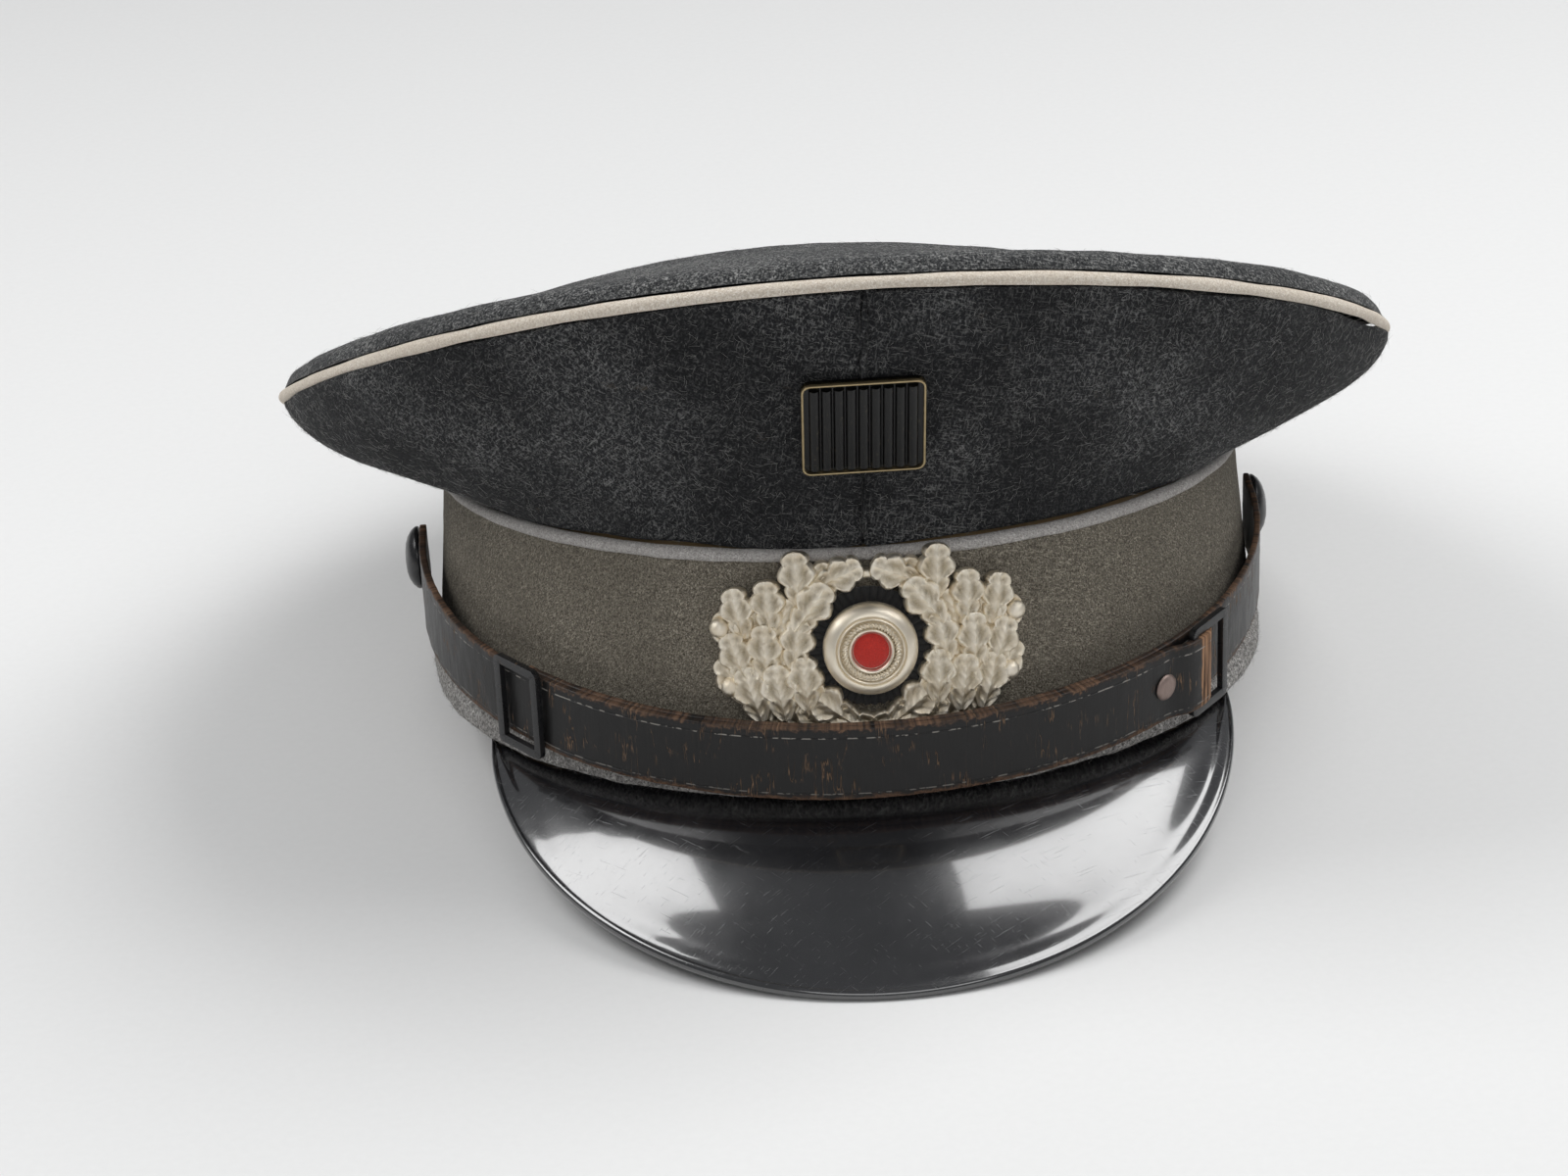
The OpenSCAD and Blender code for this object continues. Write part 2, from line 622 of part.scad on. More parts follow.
module wreath() {
    color([0.78, 0.77, 0.74]) seated() {
        for (side = [-1, 1]) {
            leaf_row(side, inner_ring, -68, 35, 5, 90, 1, 0.6, 1);
            leaf_row(side, inner_ring + leaf_w * 0.75, -57, 26.5, 5, 82, 0.3, 0.3, 1);
            leaf_row(side, inner_ring + leaf_w * 1.65, -24.5, 20, 3, 70, 0.7, 0, 1);
            for (place = [[inner_ring + 14.4, 5], [inner_ring + 11.7, -9.5]])
                on_band(side * place[0], wreath_z + place[1], wreath_gap + acorn_r) sphere(r = acorn_r, $fn = 32);
        }
        on_band(0, wreath_z - inner_ring - 0.8, wreath_gap) linear_extrude(leaf_t + 0.7)
            polygon([[-3.4, -1.6], [3.4, -1.6], [2.4, 0], [3.4, 1.6], [-3.4, 1.6], [-2.4, 0]]);
    }
}

module prong_holes(r) {
    for (side = [-1, 1]) on_band(side * prong_side, prong_z, 0) cylinder(r = r, h = 20, center = true, $fn = 24);
}

// Two soft prongs go through the band and are bent down flat behind its board
module wreath_prongs() {
    depth = room_in + seam_gap + 0.2;
    top = wreath_gap + seam_gap / 2;
    color([0.70, 0.69, 0.66]) seated() for (side = [-1, 1]) on_band(side * prong_side, prong_z, 0) {
        translate([0, 0, -depth]) cylinder(r = prong_r, h = depth + top, $fn = 24);
        translate([-prong_r, -6, -depth - 0.3]) cube([2 * prong_r, 6 + prong_r, 0.5]);
    }
}

ruffle_lift = 0.4;
ruffle_t = 1.4;
boss_lift = ruffle_lift + ruffle_t + 0.1;
pleat_depth = 0.6;
module cockade_ruffle() {
    color([0.05, 0.05, 0.05]) seated() on_band(0, cockade_z, ruffle_lift) linear_extrude(ruffle_t)
        polygon([for (k = [0 : 2 * pleats - 1])
            (ruffle_r - (k % 2) * pleat_depth) * [cos(180 * k / pleats), sin(180 * k / pleats)]]);
}

felt_floor = boss_h - 1.3;
module cockade_boss() {
    color([0.80, 0.79, 0.76]) seated() on_band(0, cockade_z, boss_lift) rotate_extrude()
        polygon([[0, 0], [0.93 * boss_r, 0], [0.98 * boss_r, 0.12 * boss_h], [boss_r, 0.3 * boss_h],
            [0.98 * boss_r, 0.5 * boss_h], [0.92 * boss_r, 0.72 * boss_h], [0.84 * boss_r, 0.9 * boss_h],
            [0.76 * boss_r, 0.98 * boss_h], [0.7 * boss_r, boss_h], [0.65 * boss_r, 0.95 * boss_h],
            [0.63 * boss_r, 0.86 * boss_h], [0.56 * boss_r, 0.86 * boss_h], [0.54 * boss_r, 0.92 * boss_h],
            [0.46 * boss_r, 0.92 * boss_h], [felt_r + 0.3, 0.88 * boss_h],
            [felt_r + 0.1, felt_floor], [0, felt_floor]]);
}

module cockade_felt() {
    color([0.65, 0.05, 0.05]) seated() on_band(0, cockade_z, boss_lift + felt_floor + 0.1) rotate_extrude()
        polygon([[0, 0], [felt_r, 0], [felt_r, 0.4], [0.8 * felt_r, 0.7], [0.4 * felt_r, 0.85], [0, 0.9]]);
}

// ---- badge ----

badge_gap = 0.6;
module badge_place() {
    dir = side_dir(0, badge_place);
    translate(side_point(0, badge_place)) rotate([90 + atan2(dir[0], dir[1]), 0, 0]) translate([0, 0, badge_gap])
        children();
}

pin_spread = 9;
module badge_pins(r) {
    for (side = [-1, 1]) translate([side * pin_spread, 0, -crown_t - 3 * badge_gap])
        cylinder(r = r, h = crown_t + 3 * badge_gap, $fn = 24);
}

module badge() {
    corner = 2;
    flutes = 9;
    rim = 1.4;
    pitch = (badge_w - 2 * rim) / flutes;
    color([0.10, 0.10, 0.11]) seated() badge_place() difference() {
        linear_extrude(badge_t) frame_outline(badge_w, badge_h, corner);
        for (k = [0 : flutes - 1])
            translate([-badge_w / 2 + rim + pitch * (k + 0.15), -badge_h / 2 + rim + 0.6, badge_t - 0.5])
            cube([0.7 * pitch, badge_h - 2 * rim - 1.2, badge_t]);
    }
}

module badge_prongs() {
    color([0.70, 0.62, 0.40]) seated() badge_place() badge_pins(prong_r - 0.1);
}

crown_top();
crown_front_left();
crown_front_right();
crown_rear_left();
crown_rear_right();
crown_piping();
crown_wire();
front_stay();
crown_lining();
sweat_shield();
band_cloth();
band_stiffener();
band_top_piping();
band_bottom_piping();
hem_strip();
sweatband();
visor();
strap_outer();
strap_inner();
strap_slide();
strap_buckle();
strap_stud();
side_button_left();
side_button_right();
wreath();
wreath_prongs();
cockade_ruffle();
cockade_boss();
cockade_felt();
badge();
badge_prongs();
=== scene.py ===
# %% [markdown]
# # A military peaked cap, dressed around its frame
# The cap's solids come from its CAD model and stay where they are. This lesson gives every piece its
# cloth, leather, lacquer or metal: soft pieces are modelled again as cloth and leather, and stand for
# the plain solids under them. The front is -Y, up is +Z, and all lengths are in metres.

# %% Load the frame
import json
import math
import random
from contextlib import contextmanager

import bpy
from mathutils import Matrix, Vector, noise


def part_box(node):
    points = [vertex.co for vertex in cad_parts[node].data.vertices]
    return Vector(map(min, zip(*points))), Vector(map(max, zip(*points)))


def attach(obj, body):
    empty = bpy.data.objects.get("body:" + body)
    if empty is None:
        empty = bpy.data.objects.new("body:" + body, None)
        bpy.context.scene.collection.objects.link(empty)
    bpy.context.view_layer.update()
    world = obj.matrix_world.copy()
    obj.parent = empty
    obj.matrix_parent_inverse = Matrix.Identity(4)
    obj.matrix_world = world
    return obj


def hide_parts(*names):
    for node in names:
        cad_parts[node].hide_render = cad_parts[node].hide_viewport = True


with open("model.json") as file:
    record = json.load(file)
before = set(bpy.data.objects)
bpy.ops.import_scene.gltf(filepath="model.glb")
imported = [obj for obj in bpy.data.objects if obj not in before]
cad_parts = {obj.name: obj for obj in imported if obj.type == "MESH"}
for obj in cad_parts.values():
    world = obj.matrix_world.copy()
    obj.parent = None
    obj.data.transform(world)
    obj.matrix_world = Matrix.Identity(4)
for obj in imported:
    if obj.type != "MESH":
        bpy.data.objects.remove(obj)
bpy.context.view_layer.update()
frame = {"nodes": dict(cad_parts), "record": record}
mm = 0.001

# %% [markdown]
# ## The cap's own axes
# The cap rests on its visor and the back of its hem, so it leans forward. The head opening's mount
# gives the middle of the hem and the way up, and `cap` carries a point from the cap's upright axes
# to where the cap rests.

# %% The cap's axes
opening = frame["record"]["mounts"][0]
up = -Vector(opening["axis"])
lean = math.atan2(up.y, up.z)
cap = Matrix.Translation(opening["pos_m"]) @ Matrix.Rotation(-lean, 4, "X")
print("The cap leans forward by", round(math.degrees(lean), 2), "degrees")

# %% [markdown]
# ## Small helpers for modelling
# An operator works on whatever is selected, so each helper first deselects everything and then
# selects its own object.

# %% Selecting and editing
def only(obj):
    bpy.ops.object.select_all(action="DESELECT")
    obj.select_set(True)
    bpy.context.view_layer.objects.active = obj
    return obj


@contextmanager
def editing(obj, mode="VERT"):
    """Edit mode with all of the object selected, and object mode again at the end."""
    only(obj)
    bpy.ops.object.mode_set(mode="EDIT")
    bpy.ops.mesh.select_mode(type=mode)
    bpy.ops.mesh.select_all(action="SELECT")
    yield
    bpy.ops.object.mode_set(mode="OBJECT")


def select_vertices(obj, test):
    """Selects the vertices that pass a test, from object mode."""
    only(obj)
    bpy.ops.object.mode_set(mode="EDIT")
    bpy.ops.mesh.select_mode(type="VERT")
    bpy.ops.mesh.select_all(action="DESELECT")
    bpy.ops.object.mode_set(mode="OBJECT")
    for vertex in obj.data.vertices:
        vertex.select = bool(test(vertex))


def tidy(obj, gap=1e-6):
    """Merges vertices that lie together and turns every face outwards."""
    with editing(obj):
        bpy.ops.mesh.remove_doubles(threshold=gap)
        bpy.ops.mesh.normals_make_consistent(inside=False)
    return obj


def modify(obj, kind, **settings):
    only(obj)
    modifier = obj.modifiers.new(kind.title(), kind)
    for name, value in settings.items():
        setattr(modifier, name, value)
    bpy.ops.object.modifier_apply(modifier=modifier.name)
    return obj


def smooth(obj, levels):
    return modify(obj, "SUBSURF", levels=levels, render_levels=levels)


def rounded(obj, width, segments, angle=35):
    return modify(obj, "BEVEL", width=width, segments=segments, limit_method="ANGLE",
                  angle_limit=math.radians(angle))


def shade(obj, angle=None):
    only(obj)
    if angle is None:
        bpy.ops.object.shade_smooth()
    else:
        bpy.ops.object.shade_smooth_by_angle(angle=math.radians(angle))
    return obj


def placed(obj, matrix):
    obj.data.transform(matrix)
    if matrix.determinant() < 0:
        tidy(obj)
    obj.data.update()
    return obj


def joined(pieces, name):
    bpy.ops.object.select_all(action="DESELECT")
    for piece in pieces:
        piece.select_set(True)
    bpy.context.view_layer.objects.active = pieces[0]
    bpy.ops.object.join()
    pieces[0].name = name
    return pieces[0]


def twin(obj, matrix=Matrix.Identity(4)):
    """A copy with its own mesh, put in place by the matrix."""
    copy = bpy.data.objects.new(obj.name + "_copy", obj.data.copy())
    bpy.context.scene.collection.objects.link(copy)
    return placed(copy, matrix)


def named(name):
    obj = bpy.context.active_object
    obj.name = name
    return obj


# %% [markdown]
# ## Helpers that make shapes
# Most of the cap is turned or swept: a profile goes round, as on a lathe. `spun` places a circle's
# vertices on the profile, and Spin carries it round. `copied` starts from a CAD solid's mesh, whose
# triangles are merged and made quads again, so that Subdivision Surface can round it.

# %% Spun and copied shapes
def spun(name, profile, steps):
    """Spins a closed profile of (radius, height) in millimetres once round."""
    bpy.ops.mesh.primitive_circle_add(vertices=len(profile), radius=1)
    obj = named(name)
    for vertex, (radius, height) in zip(obj.data.vertices, profile):
        vertex.co = (0, -radius * mm, height * mm)
    with editing(obj):
        bpy.ops.mesh.spin(steps=steps, angle=math.tau, center=(0, 0, 0), axis=(0, 0, 1))
    return tidy(obj, 1e-7)


def copied(node, name, levels, sharp=50):
    """A rounded copy of a CAD solid, whose edges past the sharp angle stay creased."""
    obj = bpy.data.objects.new(name, frame["nodes"][node].data.copy())
    bpy.context.scene.collection.objects.link(obj)
    obj.data.materials.clear()
    with editing(obj, mode="EDGE"):
        bpy.ops.mesh.remove_doubles(threshold=1e-6)
        bpy.ops.mesh.tris_convert_to_quads(face_threshold=math.radians(40), shape_threshold=math.radians(60))
        bpy.ops.mesh.select_all(action="DESELECT")
        bpy.ops.mesh.edges_select_sharp(sharpness=math.radians(sharp))
        bpy.ops.transform.edge_crease(value=1)
    return shade(smooth(obj, levels), 40)


def pushed(obj, amount):
    """Moves each vertex along its normal by amount(place)."""
    moves = [vertex.normal * amount(vertex.co) for vertex in obj.data.vertices]
    for vertex, move in zip(obj.data.vertices, moves):
        vertex.co += move
    obj.data.update()
    return obj


def relief(obj, depth, size, seed):
    """Moves the surface in and out by smooth noise, as cloth that isn't quite flat."""
    shift = Vector((seed * 7.1, seed * 3.3, seed * 5.7))
    return pushed(obj, lambda co: noise.noise(co / size + shift) * depth)


# %% [markdown]
# ## Shader expressions
# A material is easier to read as sums than as a web of nodes. `Wire` wraps a socket, so that
# `1 - mask * 0.5` adds the Math nodes itself, and `Finish.add` makes any other node.

# %% The shader classes
class Wire:
    def __init__(self, finish, socket):
        self.finish = finish
        self.socket = socket

    def math(self, operation, other=None, reflected=False):
        pair = [other, self] if reflected else [self, other]
        inputs = {i: value for i, value in enumerate(pair) if value is not None}
        return self.finish.add("Math", inputs, operation=operation)

    def __add__(self, other):
        return self.math("ADD", other)

    def __sub__(self, other):
        return self.math("SUBTRACT", other)

    def __rsub__(self, other):
        return self.math("SUBTRACT", other, True)

    def __mul__(self, other):
        return self.math("MULTIPLY", other)

    __radd__ = __add__
    __rmul__ = __mul__

    def between(self, low, high, start=0.0, stop=1.0):
        return self.finish.add("MapRange", {0: self, 1: low, 2: high, 3: start, 4: stop})


class Finish:
    def __init__(self, name, **constants):
        self.material = bpy.data.materials.new(name)
        self.material.use_nodes = True
        self.tree = self.material.node_tree
        self.shader = self.tree.nodes["Principled BSDF"]
        for socket, value in constants.items():
            self.shader.inputs[socket.replace("_", " ").title().replace("Ior", "IOR")].default_value = value

    def feed(self, socket, value):
        if isinstance(value, Wire):
            self.tree.links.new(value.socket, socket)
        else:
            socket.default_value = value

    def add(self, kind, inputs=None, out=0, **settings):
        """A node with its settings and the values or links of its sockets."""
        node = self.tree.nodes.new("ShaderNode" + kind)
        for name, value in settings.items():
            setattr(node, name, value)
        for name, value in (inputs or {}).items():
            self.feed(node.inputs[name], value)
        return Wire(self, node.outputs[out])

    def place(self, size, stretch, turn, uv):
        """The surface's own coordinates, turned and then divided by size, in metres."""
        source = self.add("UVMap", uv_map=uv) if uv else self.add("TexCoord", out="Object")
        scale = [size * share for share in stretch]
        return self.add("Mapping", {"Vector": source, "Rotation": turn, "Scale": scale},
                        vector_type="TEXTURE")

    def noise(self, size, detail=4, rough=0.6, stretch=(1, 1, 1), turn=(0, 0, 0), uv=None):
        """Noise whose grains are about size long, in metres."""
        return self.add("TexNoise", {"Vector": self.place(size, stretch, turn, uv), "Scale": 1.0,
                                     "Detail": detail, "Roughness": rough})

    def mix(self, factor, a, b):
        """Colour a where the factor is 0 and colour b where it is 1."""
        return self.add("Mix", {0: factor, 6: a, 7: b}, out=2, data_type="RGBA")

    def colour(self, value):
        self.feed(self.shader.inputs["Base Color"], value)
        return self

    def rough(self, value):
        self.feed(self.shader.inputs["Roughness"], value)
        return self

    def bump(self, height, distance, strength):
        bump = self.add("Bump", {"Height": height, "Distance": distance, "Strength": strength})
        self.feed(self.shader.inputs["Normal"], bump)
        return self


def rgb(*values):
    return (*values, 1)


def finished(obj, material, body, slot, *nodes):
    """Gives a piece its material, its body and the solids that it stands for; slot is not used."""
    obj.data.materials.clear()
    obj.data.materials.append(material)
    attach(obj, body)
    if nodes:
        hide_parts(*nodes)
    print(obj.name, len(obj.data.polygons), "faces")
    return obj

# %% [markdown]
# ## Camera, light and floor
# A long lens looks down on the cap from the front, as in a catalogue: a short one would swell the
# visor. Two large soft boxes hang over the visor, one at each side, because lacquer shows little
# but what it reflects. A third one fills the front. The floor bends up into a pale backdrop, so
# that no horizon shows.

# %% Camera
camera_place = (-0.0486, -0.8782, 0.4818)
camera_azimuth = math.radians(-2.25)
camera_elevation = math.radians(27.24)
camera_roll = math.radians(-2.59)
lens = bpy.data.cameras.new("camera")
lens.lens = 97.6
lens.sensor_width = 36
camera = bpy.data.objects.new("camera", lens)
camera.matrix_world = (Matrix.Translation(camera_place) @ Matrix.Rotation(camera_azimuth, 4, "Z")
                       @ Matrix.Rotation(math.pi / 2 - camera_elevation, 4, "X")
                       @ Matrix.Rotation(camera_roll, 4, "Z"))
bpy.context.scene.collection.objects.link(camera)
bpy.context.scene.camera = camera
bpy.context.scene.view_settings.view_transform = "Standard"
print("Camera", [round(x, 3) for x in camera_place], "lens", lens.lens)


# %% Soft boxes
def soft_box(name, place, target, size, watts):
    light = bpy.data.lights.new(name, "AREA")
    light.shape = "RECTANGLE"
    light.size, light.size_y = size
    light.energy = watts
    obj = bpy.data.objects.new(name, light)
    aim = (Vector(target) - Vector(place)).to_track_quat("-Z", "Y")
    obj.matrix_world = Matrix.Translation(place) @ aim.to_matrix().to_4x4()
    bpy.context.scene.collection.objects.link(obj)
    return obj


soft_box("light_right", (0.62, 0.1, 1.05), (0.03, -0.05, 0.05), (0.8, 0.85), 10.5)
soft_box("light_left", (-0.85, 0.05, 1.0), (-0.03, -0.05, 0.05), (0.58, 0.85), 8)
soft_box("light_front", (0.1, -1.3, 1.0), (0, 0, 0.06), (1.2, 0.6), 4)
world = bpy.data.worlds.new("studio")
bpy.context.scene.world = world
world.use_nodes = True
sky = world.node_tree.nodes["Background"]
sky.inputs["Color"].default_value = rgb(0.9, 0.92, 0.95)
sky.inputs["Strength"].default_value = 0.25
print("Soft boxes:", [light.name for light in bpy.data.lights])

# %% Floor and backdrop
floor_half = 4
backdrop_height = 3
bpy.ops.mesh.primitive_plane_add(size=2 * floor_half)
floor = named("floor")
select_vertices(floor, lambda vertex: vertex.co.y > floor_half - 0.1)
bpy.ops.object.mode_set(mode="EDIT")
bpy.ops.mesh.extrude_region_move(TRANSFORM_OT_translate={"value": (0, 0, backdrop_height)})
bpy.ops.object.mode_set(mode="OBJECT")
rounded(floor, 1.2, segments=16)
shade(floor)
floor_finish = Finish("floor", Roughness=0.9)
grain = floor_finish.noise(0.002, detail=3)
floor_finish.colour(floor_finish.mix(grain, rgb(0.76, 0.76, 0.755), rgb(0.8, 0.8, 0.795)))
floor.data.materials.append(floor_finish.material)
print("Floor and backdrop:", len(floor.data.polygons), "faces")

# %% [markdown]
# ## Wool
# The crown is made of thick, brushed wool. Close up it is a mat of short fibres, some pale and some
# dark, which lie every way. Three noises stretched along different directions make such fibres, and
# a fourth, broad one makes the cloth lighter and darker in patches.


# %% Wool finishes
def fibre_mask(finish, size, turn):
    """Streaks that are seven times as long as they are wide."""
    return finish.noise(size, detail=2, rough=0.5, stretch=(7, 1, 1), turn=turn).between(0.56, 0.72)


def wool(name, dark, middle, pale, size, depth=0.00025, tint=None, painted_hollow_shade=0.0):
    """Brushed wool: size is a fibre's width, and the last argument paints shade into broad patches, as if
    the cloth sank there.
    """
    finish = Finish(name, Roughness=0.95, Specular_Ior_Level=0.1, Sheen_Weight=0.05,
                    Sheen_Roughness=0.6)
    speck = finish.noise(size * 1.3, detail=5, rough=0.7)
    base = finish.mix(speck.between(0.36, 0.62), dark, middle)
    strands = [fibre_mask(finish, size, turn) for turn in
               ((0, 0.3, 0.2), (0.4, 0.8, 1.1), (0.9, -0.7, -0.8), (0.2, 1.3, 2.3))]
    bright = strands[0] + strands[1] + strands[2] * 0.8 + strands[3] * 0.8
    broad = finish.noise(0.03, detail=3).between(0.35, 0.65, 0.55, 1.15)
    mat = finish.mix((bright * broad * 0.75).between(0, 1), base, pale)
    shadow = finish.noise(size * 3, detail=4, rough=0.7).between(0.3, 0.5)
    mat = finish.mix(shadow, finish.mix(0.55, mat, dark), mat)
    # Painted shade: broad patches are darkened towards the dark colour, standing for soft dips in the cloth.
    mat = finish.mix(finish.noise(0.045, detail=2).between(0.42, 0.62, painted_hollow_shade, 0), mat, dark)
    if tint:
        stain = finish.noise(size * 22, detail=4, rough=0.8).between(0.66, 0.74, 0, 0.5)
        mat = finish.mix(stain, mat, tint)
    finish.colour(mat)
    finish.bump(speck + bright * 0.5, depth, 0.9)
    return finish.material


# The quarters' wool carries broad patches of painted shade.
crown_wool = wool("crown_wool", rgb(0.004, 0.0042, 0.005), rgb(0.022, 0.023, 0.026),
                  rgb(0.25, 0.25, 0.245), size=0.00042, tint=rgb(0.09, 0.07, 0.05), painted_hollow_shade=0.6)
# Painted light: the top is the quarters' wool in lighter colours, as if lit from above.
top_wool_painted_lighter = wool("top_wool_painted_lighter", rgb(0.008, 0.0085, 0.01), rgb(0.06, 0.062, 0.064), rgb(0.36, 0.36, 0.35),
                size=0.00045)
band_wool = wool("band_wool", rgb(0.04, 0.034, 0.026), rgb(0.2, 0.178, 0.14), rgb(0.42, 0.38, 0.31),
                 size=0.0003, depth=0.00012)
hem_wool = wool("hem_wool", rgb(0.04, 0.04, 0.038), rgb(0.42, 0.4, 0.38), rgb(0.85, 0.83, 0.8),
                size=0.0005, depth=0.0004)
cream_cord = wool("cream_cord", rgb(0.5, 0.42, 0.34), rgb(0.74, 0.67, 0.57), rgb(0.86, 0.81, 0.73),
                  size=0.0003, depth=0.00012)
grey_cord = wool("grey_cord", rgb(0.24, 0.22, 0.21), rgb(0.5, 0.48, 0.46), rgb(0.72, 0.7, 0.67),
                 size=0.0003, depth=0.00018)
print("Wool finishes:", [item.name for item in bpy.data.materials if "wool" in item.name])

# %% [markdown]
# ## Loose fibres
# Brushed wool has a fuzzy outline. One bent fibre is modelled and copied to random places on the
# cloth's outer side. Each fibre has only a few faces, because there are thousands.

# %% One fibre
def make_fibre():
    bpy.ops.mesh.primitive_cylinder_add(vertices=3, radius=1, depth=1, end_fill_type="NOTHING",
                                        location=(0, 0, 0.5))
    fibre = named("fibre")
    bpy.ops.object.transform_apply(location=True)
    with editing(fibre):
        bpy.ops.mesh.bisect(plane_co=(0, 0, 0.35), plane_no=(0, 0, 1))
        bpy.ops.mesh.select_all(action="SELECT")
        bpy.ops.mesh.bisect(plane_co=(0, 0, 0.7), plane_no=(0, 0, 1))
    return fibre


fibre_base = make_fibre()
fibre_points = [vertex.co.copy() for vertex in fibre_base.data.vertices]
fibre_faces = [tuple(face.vertices) for face in fibre_base.data.polygons]
bpy.data.objects.remove(fibre_base)
print("One fibre:", len(fibre_faces), "faces")


# %% Scattering the fibre
def fuzz(cloth, name, count, length, thick, seed, outside):
    """Scatters copies of the fibre over the faces that pass the test."""
    dice = random.Random(seed)
    faces = [face for face in cloth.data.polygons if outside(face)]
    weights = [face.area for face in faces]
    points, polygons = [], []
    for face in dice.choices(faces, weights, k=count):
        side = face.normal.orthogonal().normalized()
        side.rotate(Matrix.Rotation(dice.uniform(0, math.tau), 3, face.normal))
        aim = (side + face.normal * dice.uniform(0.05, 0.5)).normalized()
        across = aim.cross(face.normal).normalized()
        bend = across * dice.uniform(-0.6, 0.6) - face.normal * dice.uniform(0, 0.35)
        long = length * dice.uniform(0.4, 1.3)
        corners = [cloth.data.vertices[i].co for i in face.vertices]
        shares = [dice.random() + 0.05 for _ in corners]
        spot = sum((c * s for c, s in zip(corners, shares)), Vector()) / sum(shares)
        first = len(points)
        for p in fibre_points:
            thin = thick * (1 - 0.6 * p.z)
            points.append(spot + aim * long * p.z + bend * long * p.z * p.z
                          + across * thin * p.x + face.normal * thin * p.y)
        polygons += [tuple(first + i for i in polygon) for polygon in fibre_faces]
    mesh = bpy.data.meshes.new(name)
    mesh.from_pydata(points, [], polygons)
    obj = bpy.data.objects.new(name, mesh)
    bpy.context.scene.collection.objects.link(obj)
    return tidy(shade(obj))


# %% [markdown]
# ## Crown
# The top is one oval of wool stretched over a wire, and four quarters of cloth make the sides. A
# cloth simulation could drape them, but they are held taut, so each is a copy of its solid, which
# keeps its thickness and its seams. The cloth isn't quite flat: smooth noise moves it a little, the
# front seam draws it in, and the top swells in a ring a little way in from the wire.

# %% Crown top
crown_low, crown_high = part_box("crown_top")
crown_middle = (crown_low + crown_high) / 2
crown_half = (crown_high - crown_low) / 2
swell = 2.4
swell_at = 0.72
swell_width = 0.13
crown_top = copied("crown_top", "crown_top_cloth", levels=2)
for vertex in crown_top.data.vertices:
    away = vertex.co - crown_middle
    share = math.hypot(away.x / crown_half.x, away.y / crown_half.y)
    vertex.co += up * swell * mm * math.exp(-((share - swell_at) / swell_width) ** 2)
relief(crown_top, 0.3 * mm, 0.05, seed=1)
relief(crown_top, 0.25 * mm, 0.009, seed=2)
finished(crown_top, top_wool_painted_lighter, "cap", "crown_wool", "crown_top")

# %% Crown quarters
def seam_pull(co):
    """1 on the front seam, falling to 0 a few millimetres away."""
    return math.exp(-(co.x / (2.2 * mm)) ** 2)


seam_depth = 0.5
quarters = []
for node in ("crown_front_left", "crown_front_right", "crown_rear_left", "crown_rear_right"):
    quarter = copied(node, node + "_cloth", levels=3)
    relief(quarter, 2.4 * mm, 0.05, seed=4)
    relief(quarter, 0.35 * mm, 0.012, seed=5)
    pushed(quarter, lambda co: -seam_depth * mm * seam_pull(co) if co.y < 0 else 0)
    finished(quarter, crown_wool, "cap", "crown_wool", node)
    quarters.append(quarter)

# %% Crown piping
crown_piping = copied("crown_piping", "crown_piping_cord", levels=2)
relief(crown_piping, 0.25 * mm, 0.012, seed=6)
finished(crown_piping, cream_cord, "cap", "piping", "crown_piping")

# %% Fibres on the crown
pale_fibre = Finish("pale_fibre", Roughness=0.9, Base_Color=rgb(0.34, 0.335, 0.32)).material


def faces_out(face):
    """Whether a face looks away from a place 10 mm under the crown's middle."""
    return face.normal.dot(face.center - crown_middle - Vector((0, 0, -0.01))) > 0


for number, cloth in enumerate([crown_top] + quarters):
    count = 5200 if cloth is crown_top else 2600
    fibres = fuzz(cloth, cloth.name + "_fibres", count, 2.2 * mm, 0.034 * mm, number, faces_out)
    finished(fibres, pale_fibre, "cap", "crown_wool")

# %% [markdown]
# ## Band
# The band is a stiff ring of field-grey wool between two cords. Its outline is two half circles
# joined by short straight runs, so each piece is spun round and then moved apart at the middle.
# Spinning keeps the rings fine and even all round. The band's upper seam stands higher in front.

# %% The band's outline
band_r = 95.0
band_flat = 4.4
band_h = 50.0
band_rise = 3.5
band_taper = 4.3
band_lean = band_taper / band_h
ring_steps = 256


def on_band_line(obj, low=None):
    """Turns a round ring into the band's outline, and tips what is above low up in front."""
    obj.data.transform(Matrix.Rotation(math.pi / ring_steps, 4, "Z"))
    for vertex in obj.data.vertices:
        share = 0 if low is None else max(0, (vertex.co.z / mm - low) / (band_h - low))
        round_r = math.hypot(vertex.co.x, vertex.co.y)
        rise = -band_rise * mm * vertex.co.y / round_r * share
        inward = 1 - band_lean * rise / round_r
        vertex.co.z += rise
        vertex.co.x *= inward
        vertex.co.y = vertex.co.y * inward + math.copysign(band_flat * mm, vertex.co.y)
    return placed(obj, cap)


def wall(low, high, inset, thick, rows):
    """Profile of a leaning wall, with rows of vertices up each face."""
    heights = [low + (high - low) * k / rows for k in range(rows + 1)]
    outer = [(band_r - band_lean * z - inset, z) for z in heights]
    return outer + [(r - thick, z) for r, z in reversed(outer)]


print("Band outline:", 2 * band_r, "by", 2 * (band_r + band_flat), "mm, height", band_h, "mm")


# %% Band cloth
cloth_low = 10.6
cloth_high = 50.2
cloth_wall = wall(cloth_low, cloth_high, 0, 1.8, 14)
band_cloth = on_band_line(spun("band_wool_cover", cloth_wall, ring_steps), cloth_low)
relief(band_cloth, 0.3 * mm, 0.02, seed=8)
relief(band_cloth, 0.08 * mm, 0.004, seed=9)
finished(shade(band_cloth, 40), band_wool, "cap", "band_wool", "band_cloth")

# %% Cords above and below the band
def cord_profile(radius, height, thick, sides=12):
    turns = [math.tau * k / sides for k in range(sides)]
    return [(radius + thick * math.cos(turn), height + thick * math.sin(turn)) for turn in turns]


